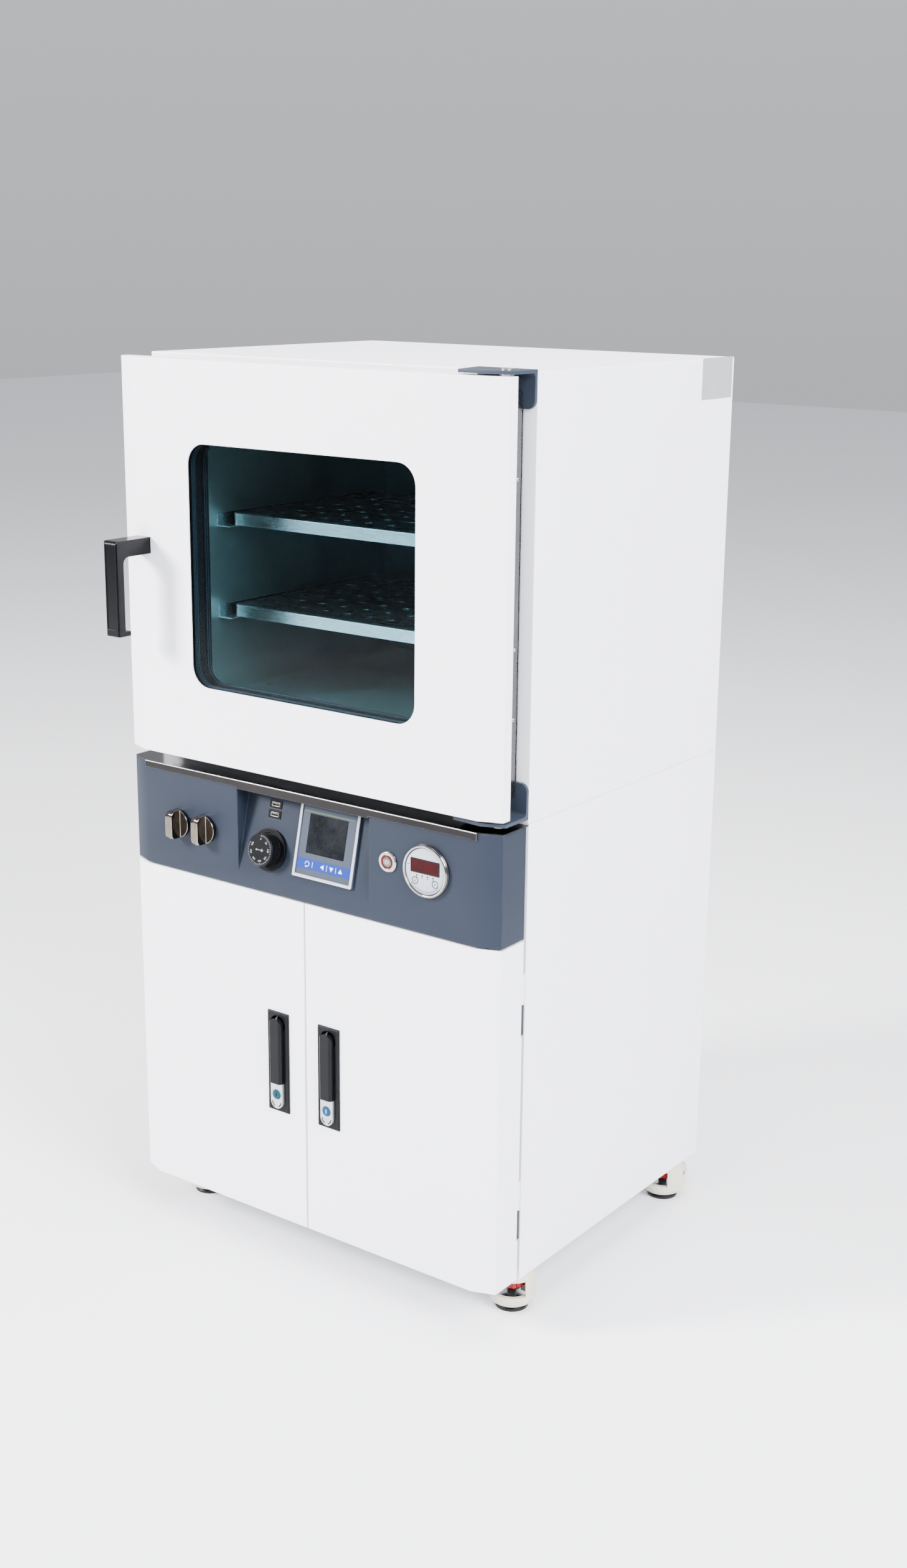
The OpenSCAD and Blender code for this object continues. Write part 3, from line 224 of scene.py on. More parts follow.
def makeFinish(name, ownLook):
    # one procedural material: grain, edge wear with a painted edge highlight, dust and painted back shade
    # feed the Principled shader
    look = {**plainLook, **ownLook}
    mat = bpy.data.materials.new(name)
    mat.use_nodes = True
    t = mat.node_tree
    bsdf = t.nodes["Principled BSDF"]
    bsdf.inputs["Metallic"].default_value = look["metal"]
    bsdf.inputs["Specular IOR Level"].default_value = look["specular"]
    grain = placeGroup(t, "grain", Color=look["color"], Shade=look["shade"], Patch_Scale=look["patch"],
                       Grain_Scale=look["grain"], Stretch=look["stretch"],
                       Rough_Low=look["rough"][0], Rough_High=look["rough"][1])
    colour = grain.outputs["Color"]
    bump = put(t, "Bump", Strength=look["bump"], Distance=look["depth"], Height=grain.outputs["Height"])
    if "rub" in look:
        edge = placeGroup(t, "edge", Color=colour, Rubbed=look["rub"], Radius=look["radius"],
                          Amount=look["rubAmount"])
        colour = edge.outputs["Color"]
        t.links.new(edge.outputs["Normal"], bump.inputs["Normal"])
    if "dust" in look:
        colour = placeGroup(t, "dust", Color=colour, Amount=look["dust"]).outputs["Color"]
    if "deep" in look:
        # painted shade: darker towards the back of the chamber and behind the shelves' front edges, where the
        # inside lies in shadow; its range is in mm along the scene's own y
        back = put(t, "SeparateXYZ", Vector=objectCoord(t)).outputs["Y"]
        start, end = (v / 1000 for v in look["deepRange"])
        colour = mixColour(t, spread(t, back, 0.0, 1.0, start, end), colour, look["deep"])
    t.links.new(colour, bsdf.inputs["Base Color"])
    t.links.new(grain.outputs["Roughness"], bsdf.inputs["Roughness"])
    t.links.new(bump.outputs[0], bsdf.inputs["Normal"])
    return mat


# color and shade drift into each other over patches, and the edge colour is partly worn coat and partly a
# painted highlight on edges; depth and radius are in metres
finishes = {
    "caseWhite": {"color": rgb(240, 240, 247), "shade": rgb(235, 235, 243), "rough": (0.34, 0.42),
                  "patch": 2.2, "grain": 1500.0, "bump": 0.12, "depth": 0.00012, "rub": rgb(247, 247, 249),
                  "rubAmount": 0.5, "radius": 0.0014, "dust": 0.04},
    "panelSlate": {"color": rgb(31, 37, 49), "shade": rgb(27, 33, 44), "rough": (0.38, 0.5), "patch": 3.5,
                   "grain": 1700.0, "bump": 0.16, "depth": 0.00012, "rub": rgb(84, 92, 108),
                   "rubAmount": 0.8, "radius": 0.0014, "specular": 0.14},
    "plateBlue": {"color": rgb(44, 50, 62), "shade": rgb(39, 45, 57), "rough": (0.34, 0.46), "patch": 8.0,
                  "grain": 1500.0, "bump": 0.14, "depth": 0.00012, "rub": rgb(84, 92, 110),
                  "rubAmount": 0.8, "radius": 0.0013, "specular": 0.2},
    "stainless": {"color": rgb(126, 126, 127), "shade": rgb(104, 104, 104), "rough": (0.2, 0.34),
                  "metal": 1.0, "patch": 4.0, "grain": 260.0, "stretch": (0.05, 1, 6), "bump": 0.1,
                  "depth": 0.0001, "rub": rgb(190, 190, 189), "rubAmount": 0.5, "radius": 0.0007},
    # painted reflection: the ledge's dark base colour stands in for the dark door underside it mirrors, and
    # its bright edge colour is a painted highlight
    "ledgeSteel": {"color": rgb(42, 40, 40), "shade": rgb(30, 29, 29), "rough": (0.14, 0.24), "metal": 1.0,
                   "patch": 4.0, "grain": 260.0, "stretch": (0.05, 1, 6), "bump": 0.08, "depth": 0.0001,
                   "rub": rgb(238, 238, 238), "rubAmount": 1.0, "radius": 0.0006},
    # painted reflection: the brownish dark base stands in for the dark room the chrome mirrors, and the
    # bright edge colour is a painted highlight on fins and rims
    "knobChrome": {"color": rgb(104, 97, 90), "shade": rgb(82, 75, 68), "rough": (0.08, 0.18), "metal": 1.0,
                   "patch": 30.0, "grain": 700.0, "bump": 0.04, "rub": rgb(244, 242, 238), "rubAmount": 0.9,
                   "radius": 0.0012},
    # painted shade: the chamber turns darker further back, standing in for the shadow inside the oven
    "chamberSteel": {"color": rgb(194, 208, 207), "shade": rgb(166, 184, 185), "rough": (0.34, 0.48),
                     "metal": 1.0, "patch": 3.0, "grain": 60.0, "stretch": (4, 4, 0.15), "bump": 0.012,
                     "depth": 0.0001, "deep": rgb(102, 118, 127), "deepRange": (-150.0, 60.0)},
    # painted highlight: the near-white edge colour lights the shelves' front edges, and the darker colour
    # further back is painted shade
    "shelfSteel": {"color": rgb(198, 212, 215), "shade": rgb(166, 182, 187), "rough": (0.2, 0.34),
                   "metal": 1.0, "patch": 9.0, "grain": 300.0, "stretch": (0.06, 1, 5), "bump": 0.1,
                   "depth": 0.0001, "rub": rgb(252, 253, 253), "rubAmount": 0.9, "radius": 0.001,
                   "deep": rgb(84, 103, 110), "deepRange": (-139.0, -126.0)},
    "zincPlate": {"color": rgb(190, 190, 186), "shade": rgb(160, 160, 152), "rough": (0.25, 0.4),
                  "metal": 1.0, "patch": 30.0, "grain": 600.0, "bump": 0.08, "rub": rgb(220, 220, 218),
                  "radius": 0.0005},
    "chromePlate": {"color": rgb(176, 174, 171), "shade": rgb(150, 148, 145), "rough": (0.06, 0.14),
                    "metal": 1.0, "patch": 20.0, "grain": 700.0, "bump": 0.03, "rub": rgb(240, 238, 235),
                    "radius": 0.0008},
    "blackMoulding": {"color": rgb(7, 8, 10), "shade": rgb(5, 6, 8), "rough": (0.28, 0.42), "patch": 14.0,
                      "grain": 1100.0, "bump": 0.12, "rub": rgb(40, 42, 48), "rubAmount": 0.6,
                      "radius": 0.001, "specular": 0.12},
    "handleBlack": {"color": rgb(4, 5, 7), "shade": rgb(3, 4, 5), "rough": (0.16, 0.26), "patch": 14.0,
                    "grain": 1100.0, "bump": 0.05, "rub": rgb(44, 46, 52), "rubAmount": 0.6,
                    "radius": 0.001, "specular": 0.16},
    "gunMetal": {"color": rgb(70, 70, 74), "shade": rgb(52, 52, 56), "rough": (0.06, 0.14), "metal": 1.0,
                 "patch": 30.0, "grain": 700.0, "bump": 0.03},
    # painted highlight for the ledge's front edge
    "paintedGlint": {"color": rgb(232, 232, 231), "shade": rgb(206, 206, 205), "rough": (0.16, 0.28),
                   "metal": 0.9, "patch": 8.0, "grain": 300.0, "stretch": (0.05, 1, 4), "bump": 0.06},
    "revealBlue": {"color": rgb(16, 32, 42), "shade": rgb(12, 26, 36), "rough": (0.3, 0.42), "patch": 12.0,
                   "grain": 700.0, "bump": 0.04, "specular": 0.2},
    "lockBlack": {"color": rgb(9, 10, 12), "shade": rgb(7, 8, 10), "rough": (0.3, 0.42), "patch": 20.0,
                  "grain": 1300.0, "bump": 0.12, "rub": rgb(40, 42, 48), "rubAmount": 0.7, "radius": 0.0008,
                  "specular": 0.12},
    "instrumentGrey": {"color": rgb(52, 59, 72), "shade": rgb(47, 54, 67), "rough": (0.36, 0.46),
                       "patch": 16.0, "grain": 1400.0, "bump": 0.08, "rub": rgb(110, 116, 130),
                       "radius": 0.0006, "specular": 0.2},
    "frameLight": {"color": rgb(170, 174, 184), "shade": rgb(158, 162, 173), "rough": (0.28, 0.4),
                   "patch": 20.0, "grain": 1300.0, "bump": 0.06, "rub": rgb(230, 232, 238),
                   "radius": 0.0006, "specular": 0.3},
    "ivoryCoat": {"color": rgb(204, 199, 184), "shade": rgb(190, 184, 167), "rough": (0.36, 0.5),
                  "patch": 22.0, "grain": 900.0, "bump": 0.18, "rub": rgb(236, 233, 222), "radius": 0.001,
                  "dust": 0.2},
    "nylonBlack": {"color": rgb(18, 18, 19), "shade": rgb(13, 13, 14), "rough": (0.4, 0.55), "patch": 30.0,
                   "grain": 800.0, "bump": 0.15, "rub": rgb(60, 60, 60), "radius": 0.0008, "dust": 0.3,
                   "specular": 0.3},
    "silicone": {"color": rgb(4, 7, 11), "shade": rgb(2, 5, 8), "rough": (0.5, 0.62), "patch": 12.0,
                 "grain": 700.0, "bump": 0.12, "specular": 0.05},
    "mineralWool": {"color": rgb(196, 184, 140), "shade": rgb(168, 154, 110), "rough": (0.85, 0.95),
                    "patch": 30.0, "grain": 260.0, "bump": 0.8, "depth": 0.002},
    "heaterMat": {"color": rgb(150, 72, 40), "shade": rgb(128, 58, 30), "rough": (0.5, 0.62), "patch": 12.0,
                  "grain": 500.0, "bump": 0.3},
    "brassBody": {"color": rgb(190, 160, 98), "shade": rgb(160, 130, 76), "rough": (0.24, 0.4),
                  "metal": 1.0, "patch": 25.0, "grain": 500.0, "bump": 0.08},
    "boardGreen": {"color": rgb(34, 92, 60), "shade": rgb(26, 76, 48), "rough": (0.35, 0.5), "patch": 40.0,
                   "grain": 700.0, "bump": 0.1},
    "buttonSteel": {"color": rgb(118, 116, 114), "shade": rgb(98, 96, 94), "rough": (0.22, 0.34),
                    "metal": 1.0, "patch": 60.0, "grain": 900.0, "bump": 0.06},
    "ringRed": {"color": rgb(86, 3, 6), "shade": rgb(66, 2, 5), "rough": (0.2, 0.3), "patch": 60.0,
                "grain": 900.0, "bump": 0.04, "specular": 0.12},
    "screenFilm": {"color": rgb(8, 10, 14), "shade": rgb(14, 17, 23), "rough": (0.2, 0.4), "patch": 26.0,
                   "grain": 240.0, "bump": 0.1, "depth": 0.0002, "specular": 0.12},
    "stripeBlue": {"color": rgb(11, 45, 128), "shade": rgb(9, 40, 120), "rough": (0.3, 0.42), "patch": 18.0,
                   "grain": 1300.0, "bump": 0.05, "specular": 0.2},
    "inkWhite": {"color": rgb(228, 232, 240), "shade": rgb(214, 219, 228), "rough": (0.4, 0.5),
                 "patch": 60.0, "grain": 900.0, "bump": 0.02},
    "inkGrey": {"color": rgb(142, 145, 153), "shade": rgb(128, 131, 140), "rough": (0.4, 0.5),
                "patch": 60.0, "grain": 900.0, "bump": 0.02, "specular": 0.2},
    "inkDark": {"color": rgb(18, 19, 23), "shade": rgb(14, 15, 18), "rough": (0.4, 0.5), "patch": 60.0,
                "grain": 900.0, "bump": 0.02, "specular": 0.2},
    "lineGreen": {"color": rgb(84, 116, 52), "shade": rgb(72, 104, 44), "rough": (0.35, 0.45),
                  "patch": 60.0, "grain": 900.0, "bump": 0.02, "specular": 0.2},
    "gaugeWhite": {"color": rgb(168, 173, 184), "shade": rgb(158, 164, 176), "rough": (0.2, 0.3),
                   "patch": 30.0, "grain": 1200.0, "bump": 0.03, "specular": 0.3},
    "displayRed": {"color": rgb(46, 1, 4), "shade": rgb(34, 1, 3), "rough": (0.1, 0.18), "patch": 40.0,
                   "grain": 900.0, "bump": 0.02, "specular": 0.08},
    "keyTeal": {"color": rgb(0, 58, 68), "shade": rgb(0, 51, 61), "rough": (0.3, 0.42), "patch": 60.0,
                "grain": 1100.0, "bump": 0.06, "specular": 0.12},
    "keyBlue": {"color": rgb(0, 60, 94), "shade": rgb(0, 54, 86), "rough": (0.3, 0.42), "patch": 60.0,
                "grain": 1100.0, "bump": 0.06, "specular": 0.12},
    "satinSilver": {"color": rgb(190, 190, 193), "shade": rgb(168, 168, 171), "rough": (0.26, 0.4),
                    "metal": 0.85, "patch": 40.0, "grain": 900.0, "bump": 0.1, "rub": rgb(240, 240, 240),
                    "radius": 0.0008},
    "blankFoil": {"color": rgb(206, 207, 210), "shade": rgb(190, 191, 195), "rough": (0.28, 0.4),
                  "metal": 0.6, "patch": 25.0, "grain": 400.0, "stretch": (1, 1, 0.1), "bump": 0.08},
    "pinCopper": {"color": rgb(206, 176, 110), "shade": rgb(180, 150, 90), "rough": (0.2, 0.3),
                  "metal": 1.0, "patch": 60.0, "grain": 900.0, "bump": 0.04},
}
materials = {name: makeFinish(name, look) for name, look in finishes.items()}

glassSet = {
    "paneGlass": {"tint": rgb(242, 249, 250), "ior": 1.1, "specular": 0.06},
    "thickGlass": {"tint": rgb(214, 232, 237), "ior": 1.06, "specular": 0.04},
}
smearSet = {"scale": 7.0, "detail": 5.0, "rough": 0.7, "most": 0.05}


def makeGlass(name, look):
    # clear to light: what falls through is tinted, and what the eye sees is refracted
    mat = bpy.data.materials.new(name)
    mat.use_nodes = True
    t = mat.node_tree
    bsdf = t.nodes["Principled BSDF"]
    bsdf.inputs["Metallic"].default_value = 0.0
    bsdf.inputs["Transmission Weight"].default_value = 1.0
    bsdf.inputs["IOR"].default_value = look["ior"]
    bsdf.inputs["Specular IOR Level"].default_value = look["specular"]
    bsdf.inputs["Base Color"].default_value = look["tint"]
    smear = put(t, "TexNoise", Vector=objectCoord(t), Scale=smearSet["scale"], Detail=smearSet["detail"],
                Roughness=smearSet["rough"]).outputs[0]
    t.links.new(spread(t, smear, 0.0, smearSet["most"]), bsdf.inputs["Roughness"])
    clear = put(t, "BsdfTransparent", Color=look["tint"])
    mix = put(t, "MixShader", i0=put(t, "LightPath").outputs["Is Shadow Ray"])
    t.links.new(bsdf.outputs[0], mix.inputs[1])
    t.links.new(clear.outputs[0], mix.inputs[2])
    t.links.new(mix.outputs[0], t.nodes["Material Output"].inputs["Surface"])
    return mat


def makeFootFinish(name, look):
    # red thumbwheel and screw above a black rubber pad, split by height
    mat = makeFinish(name, look)
    t = mat.node_tree
    base = t.nodes["Principled BSDF"].inputs["Base Color"]
    red = base.links[0].from_socket
    height = put(t, "SeparateXYZ", Vector=objectCoord(t)).outputs["Z"]
    t.links.new(mixColour(t, maths(t, "GREATER_THAN", height, look["split"]), look["pad"], red), base)
    return mat


for name, look in glassSet.items():
    materials[name] = makeGlass(name, look)
materials["footRed"] = makeFootFinish("footRed", {
    "color": rgb(150, 10, 20), "shade": rgb(128, 8, 16), "rough": (0.3, 0.42), "patch": 40.0, "grain": 900.0,
    "bump": 0.1, "rub": rgb(220, 70, 70), "radius": 0.0008, "specular": 0.3,
    "split": 0.024, "pad": rgb(14, 14, 15)})
print("finishes:", len(materials))

# which finish each CAD node wears
corners = ["front_left", "front_right", "rear_left", "rear_right"]
nodeFinish = {
    "caseWhite": ["lower_cabinet", "upper_case", "lower_back_cover", "upper_back_cover", "oven_door_skin",
                  "cabinet_door_left", "cabinet_door_right"],
    "stainless": ["front_frame", "oven_door_frame"],
    "ledgeSteel": ["ledge_trim"],
    "chamberSteel": ["chamber"],
    "shelfSteel": ["shelf_lower", "shelf_upper", "shelf_supports"],
    "paneGlass": ["window_pane"],
    "thickGlass": ["window_glass"],
    "silicone": ["door_gasket", "window_seal"],
    "handleBlack": ["oven_handle"],
    "plateBlue": ["hinge_plate_top", "hinge_plate_bottom"],
    "zincPlate": ["hinge_pins", "oven_latch"],
    "mineralWool": ["insulation"],
    "heaterMat": ["heater_mats"],
    "panelSlate": ["control_panel"],
    "instrumentGrey": ["controller"],
    "blackMoulding": ["usb_sockets", "overtemp_base", "overtemp_dial", "power_inlet"],
    "chromePlate": ["power_bezel", "vacuum_gauge"],
    "buttonSteel": ["power_button"],
    "knobChrome": ["valve_knob_inlet", "valve_knob_vacuum"],
    "brassBody": ["vacuum_pipework"],
    "boardGreen": ["control_board"],
    "gunMetal": ["lock_spindle_left", "lock_spindle_right", "cabinet_hinges"],
    "lockBlack": ["lock_body_left", "lock_body_right", "lock_lever_left", "lock_lever_right"],
    "satinSilver": ["lock_release_left", "lock_release_right"],
    "ivoryCoat": ["castor_cup_" + c for c in corners],
    "nylonBlack": ["castor_wheel_" + c for c in corners],
    "footRed": ["castor_foot_" + c for c in corners],
}
smoothAngle = math.radians(32)

for finish, names in nodeFinish.items():
    for name in names:
        obj = nodes[name]
        for slot in obj.material_slots:
            slot.material = materials[finish]
        obj.data.polygons.foreach_set("use_smooth", [True] * len(obj.data.polygons))
        obj.data.set_sharp_from_angle(angle=smoothAngle)
print("nodes dressed:", sum(len(names) for names in nodeFinish.values()))

# Outlines, as lists of (u, v).

def polar(r, degrees, u0=0.0, v0=0.0):
    a = math.radians(degrees)
    return u0 + r * math.cos(a), v0 + r * math.sin(a)


def shifted(points, u0, v0):
    return [(u0 + u, v0 + v) for u, v in points]


def roundedRect(w, h, r, steps=8, u0=0.0, v0=0.0):
    points = []
    cu, cv = w / 2 - r, h / 2 - r
    for u, v, start in ((cu, cv, 0), (-cu, cv, 90), (-cu, -cv, 180), (cu, -cv, 270)):
        points += [polar(r, start + 90 * i / steps, u0 + u, v0 + v) for i in range(steps + 1)]
    return points


def circle(r, count=48, u0=0.0, v0=0.0):
    return [polar(r, 360 * i / count, u0, v0) for i in range(count)]


def arcBand(outer, inner, degrees, u0=0.0, v0=0.0):
    # a curved bar through the given angles
    return [polar(outer, a, u0, v0) for a in degrees] + [polar(inner, a, u0, v0) for a in degrees[::-1]]


def radialBar(degrees, start, end, half):
    c, s = polar(1.0, degrees)
    ends = ((start, half), (end, half), (end, -half), (start, -half))
    return [(r * c + w * s, r * s - w * c) for r, w in ends]


# Makers of pieces. Sizes are in mm, and a bevel of 0 leaves the edges sharp.

pieceSet = {"bevelAngle": 35, "bevelSegments": 2, "plateSharp": 40, "latheSharp": 35, "weld": 1e-7,
            "figureSteps": 3}


def finishPiece(name, mesh, material, body, bevel=0.0, sharp=pieceSet["plateSharp"]):
    obj = bpy.data.objects.new(name, mesh)
    bpy.context.scene.collection.objects.link(obj)
    mesh.materials.append(materials[material])
    mesh.polygons.foreach_set("use_smooth", [True] * len(mesh.polygons))
    mesh.set_sharp_from_angle(angle=math.radians(sharp))
    if bevel:
        m = obj.modifiers.new("softEdge", "BEVEL")
        m.width, m.segments = bevel / 1000, pieceSet["bevelSegments"]
        m.limit_method, m.angle_limit = "ANGLE", math.radians(pieceSet["bevelAngle"])
        m.harden_normals = True
    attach(obj, body)
    return obj


def meshFrom(name, bm):
    bmesh.ops.remove_doubles(bm, verts=bm.verts, dist=pieceSet["weld"])
    bmesh.ops.recalc_face_normals(bm, faces=bm.faces)
    mesh = bpy.data.meshes.new(name)
    bm.to_mesh(mesh)
    bm.free()
    return mesh


def addPlate(bm, place, outline, n0, n1, inner=None):
    # a plate between two levels, with an optional hole of as many points as its outline
    low = [bm.verts.new(place(u, v, n0)) for u, v in outline]
    high = [bm.verts.new(place(u, v, n1)) for u, v in outline]
    count = len(outline)
    for i in range(count):
        j = (i + 1) % count
        bm.faces.new((low[i], low[j], high[j], high[i]))
    if inner is None:
        bm.faces.new(low[::-1])
        bm.faces.new(high)
        return
    lowIn = [bm.verts.new(place(u, v, n0)) for u, v in inner]
    highIn = [bm.verts.new(place(u, v, n1)) for u, v in inner]
    for i in range(count):
        j = (i + 1) % count
        bm.faces.new((lowIn[j], lowIn[i], highIn[i], highIn[j]))
        bm.faces.new((high[i], high[j], highIn[j], highIn[i]))
        bm.faces.new((low[j], low[i], lowIn[i], lowIn[j]))


def plate(name, place, outlines, levels, material, body, bevel=0.0, inner=None):
    bm = bmesh.new()
    for outline in outlines:
        addPlate(bm, place, outline, levels[0], levels[1], inner)
    return finishPiece(name, meshFrom(name, bm), material, body, bevel)


def tile(name, place, look, material, body):
    # a rounded rectangle: size and opening are width, height and corner; levels are its foot and its top
    u0, v0 = look.get("at", (0.0, 0.0))
    outer = roundedRect(*look["size"], u0=u0, v0=v0)
    inner = roundedRect(*look["opening"], u0=u0, v0=v0) if "opening" in look else None
    return plate(name, place, [outer], look["levels"], material, body, look.get("bevel", 0.0), inner)


def lathe(name, places, profile, material, body, count=48):
    # profile points are (radius, n); the same turned form at each place
    bm = bmesh.new()
    for place in places:
        rings = []
        for r, n in profile:
            outline = circle(r, count) if r > 0 else [(0, 0)]
            rings.append([bm.verts.new(place(u, v, n)) for u, v in outline])
        for a, b in zip(rings, rings[1:]):
            for i in range(count):
                j = (i + 1) % count
                if len(a) == 1:
                    bm.faces.new((a[0], b[i], b[j]))
                else:
                    bm.faces.new((a[i], a[j], b[j], b[i]))
    return finishPiece(name, meshFrom(name, bm), material, body, sharp=pieceSet["latheSharp"])


def figures(name, marks, place, n0, height, material, body):
    # raised figures of a scale: marks are (text, u, v, size, turn in degrees)
    bm = bmesh.new()
    for text, u0, v0, size, turn in marks:
        curve = bpy.data.curves.new(name, "FONT")
        curve.body, curve.size, curve.align_x, curve.align_y = text, size, "CENTER", "CENTER"
        curve.resolution_u = pieceSet["figureSteps"]
        temp = bpy.data.objects.new(name + "Temp", curve)
        bpy.context.scene.collection.objects.link(temp)
        bpy.context.view_layer.update()
        mesh = bpy.data.meshes.new_from_object(temp.evaluated_get(bpy.context.evaluated_depsgraph_get()))
        c, s = polar(1.0, turn)
        for v in mesh.vertices:
            x, y = v.co.x, v.co.y
            v.co = place(u0 + x * c - y * s, v0 + x * s + y * c, n0)
        bm.from_mesh(mesh)
        bpy.data.objects.remove(temp)
        bpy.data.curves.remove(curve)
        bpy.data.meshes.remove(mesh)
    grown = bmesh.ops.extrude_face_region(bm, geom=bm.faces[:])
    lift = place(0, 0, height) - place(0, 0, 0)
    bmesh.ops.translate(bm, verts=[e for e in grown["geom"] if isinstance(e, bmesh.types.BMVert)], vec=lift)
    return finishPiece(name, meshFrom(name, bm), material, body)


# temperature controller: rim, screen, key stripe and green line
controllerSet = {
    "x": 32, "v": 60,
    "rim": {"size": (96.0, 96.0, 1.6), "opening": (88.4, 88.4, 1.0), "levels": (3.0, 4.5), "bevel": 0.35},
    "screen": {"size": (61.2, 50.2, 1.2), "at": (-1.0, 9.0), "levels": (1.9, 2.5), "bevel": 0.2},
    "stripe": {"size": (86.6, 13.0, 0.6), "at": (0.0, -29.7), "levels": (2.9, 3.25), "bevel": 0.1},
    "line": {"size": (82.0, 0.9, 0.3), "at": (-1.0, 36.6), "levels": (2.9, 3.12)},
}
keySet = {
    "levels": (3.2, 3.36), "bar": (0.5, 7.4, 0.2), "barU": (-18.0, 5.4, 20.0),
    "arrows": ((-2.0, ((-3, 0), (2.4, 3.2), (2.4, -3.2))), (12.8, ((0, -3), (-3.2, 2.4), (3.2, 2.4))),
               (27.4, ((0, 3), (-3.2, -2.4), (3.2, -2.4)))),
    "ringU": -26.6, "ring": (3.6, 2.9), "ringSpan": (-120, 190), "ringSteps": 24,
    "ringEnds": ((-3.55, -0.6), (-2.86, -0.5)), "ringArrow": ((-0.6, -1.7), (-0.6, -4.5), (-3.2, -3.2)),
}
controllerFace = onConsole(controllerSet["x"], controllerSet["v"])
tile("controllerRim", controllerFace, controllerSet["rim"], "frameLight", "cabinet")
tile("controllerScreen", controllerFace, controllerSet["screen"], "screenFilm", "cabinet")
tile("controllerStripe", controllerFace, controllerSet["stripe"], "stripeBlue", "cabinet")
tile("controllerLine", controllerFace, controllerSet["line"], "lineGreen", "cabinet")


def keyMarks():
    v0 = controllerSet["stripe"]["at"][1]
    marks = [shifted(tip, u, v0) for u, tip in keySet["arrows"]]
    marks += [roundedRect(*keySet["bar"], u0=u, v0=v0) for u in keySet["barU"]]
    # a ring with a gap and an arrow head, for stepping through the menu
    start, end = keySet["ringSpan"]
    sweep = [start + (end - start) * i / keySet["ringSteps"] for i in range(keySet["ringSteps"])]
    outer, inner = ([polar(r, a) for a in sweep] + [last]
                    for r, last in zip(keySet["ring"], keySet["ringEnds"]))
    marks.append(shifted(outer + inner[::-1], keySet["ringU"], v0))
    marks.append(shifted(keySet["ringArrow"], keySet["ringU"], v0))
    return marks


plate("controllerMarks", controllerFace, keyMarks(), keySet["levels"], "inkWhite", "cabinet")

# over-temperature dial: figures, ticks and a double arrow on its face
dialSet = {
    "x": -60, "v": 36, "face": 21.2, "first": 90.0, "last": -205.0,
    "figures": "0 50 100 150 200 250 300 350".split(), "figureR": 13.9, "figureSize": 3.5, "figureRise": 0.12,
    "ticks": 43, "longEvery": 6, "longFrom": 16.8, "shortFrom": 17.5, "tickTo": 19.2, "tickHalf": 0.17,
    "tickLevels": (-0.06, 0.12),
    "arrow": ((-6.5, 0.0), (-4.6, 1.5), (-4.6, 0.35), (3.4, 0.35), (3.4, 2.2),
              (6.2, 0.0), (3.4, -2.2), (3.4, -0.35), (-4.6, -0.35), (-4.6, -1.5)),
}
dialFace = onConsole(dialSet["x"], dialSet["v"])


def dialAngle(i, count):
    return dialSet["first"] + (dialSet["last"] - dialSet["first"]) * i / (count - 1)


def dialFigures():
    marks = []
    for i, text in enumerate(dialSet["figures"]):
        a = dialAngle(i, len(dialSet["figures"]))
        marks.append((text, *polar(dialSet["figureR"], a), dialSet["figureSize"], a - 90))
    return marks


def dialTicks():
    marks = []
    for i in range(dialSet["ticks"]):
        start = dialSet["shortFrom" if i % dialSet["longEvery"] else "longFrom"]
        marks.append(radialBar(dialAngle(i, dialSet["ticks"]), start, dialSet["tickTo"], dialSet["tickHalf"]))
    return marks + [dialSet["arrow"]]


figures("dialNumbers", dialFigures(), dialFace, dialSet["face"], dialSet["figureRise"], "inkGrey",
        "overtemp_dial")
plate("dialTicks", dialFace, dialTicks(), [dialSet["face"] + n for n in dialSet["tickLevels"]], "inkGrey",
      "overtemp_dial")

# USB sockets over the dial
usbSet = {
    "x": -60, "v": (82.0, 95.0),
    "shell": {"size": (12.9, 5.1, 0.5), "opening": (12.0, 4.2, 0.4), "levels": (-9.0, 0.95), "bevel": 0.08},
    "tongue": {"size": (9.4, 1.2, 0.2, 2), "at": (0.0, 0.8), "levels": (-3.0, 0.3), "bevel": 0.05},
    "contact": (1.1, 0.25, 0.1, 2), "contactU": (-3.6, -1.2, 1.2, 3.6), "contactV": -0.35,
    "contactLevels": (-8.5, -1.4),
}
for i, v in enumerate(usbSet["v"]):
    socket = onConsole(usbSet["x"], v)
    tile("usbShell_" + str(i), socket, usbSet["shell"], "satinSilver", "cabinet")
    tile("usbTongue_" + str(i), socket, usbSet["tongue"], "buttonSteel", "cabinet")
    contacts = [roundedRect(*usbSet["contact"], u0=u, v0=usbSet["contactV"]) for u in usbSet["contactU"]]
    plate("usbContacts_" + str(i), socket, contacts, usbSet["contactLevels"], "pinCopper", "cabinet")
print("console dressed")

# vacuum gauge: disc, window with unlit figures, four dots, a fine scale and two keys
panelFront = -63
gaugeSet = {
    "steps": 64, "disc": [(0.0, 4.35), (28.4, 4.35), (28.8, 4.1), (28.9, 3.6)],
    "edgeLine": [(32.1, 5.6), (32.2, 5.85), (32.7, 5.45), (32.8, 5.05)],
    "groove": [(28.7, 4.1), (28.9, 4.6), (29.25, 4.6), (29.3, 4.1)],
    "rim": {"size": (43.4, 18.2, 1.2), "opening": (40.8, 15.6, 0.8), "at": (0.4, 5.8), "levels": (4.2, 4.85),
            "bevel": 0.2},
    "window": {"size": (40.9, 15.7, 0.8), "at": (0.4, 5.8), "levels": (4.2, 4.62)},
}
digitSet = {"u": (-14.2, -4.6, 5.0, 14.6), "v": 5.8, "lean": 0.08, "levels": (4.6, 4.66),
            "flat": (4.2, 0.9, 0.3, 2), "flatV": (5, 0, -5),
            "upright": (0.9, 4.0, 0.3, 2), "uprightU": 2.6, "uprightV": (2.5, -2.5)}
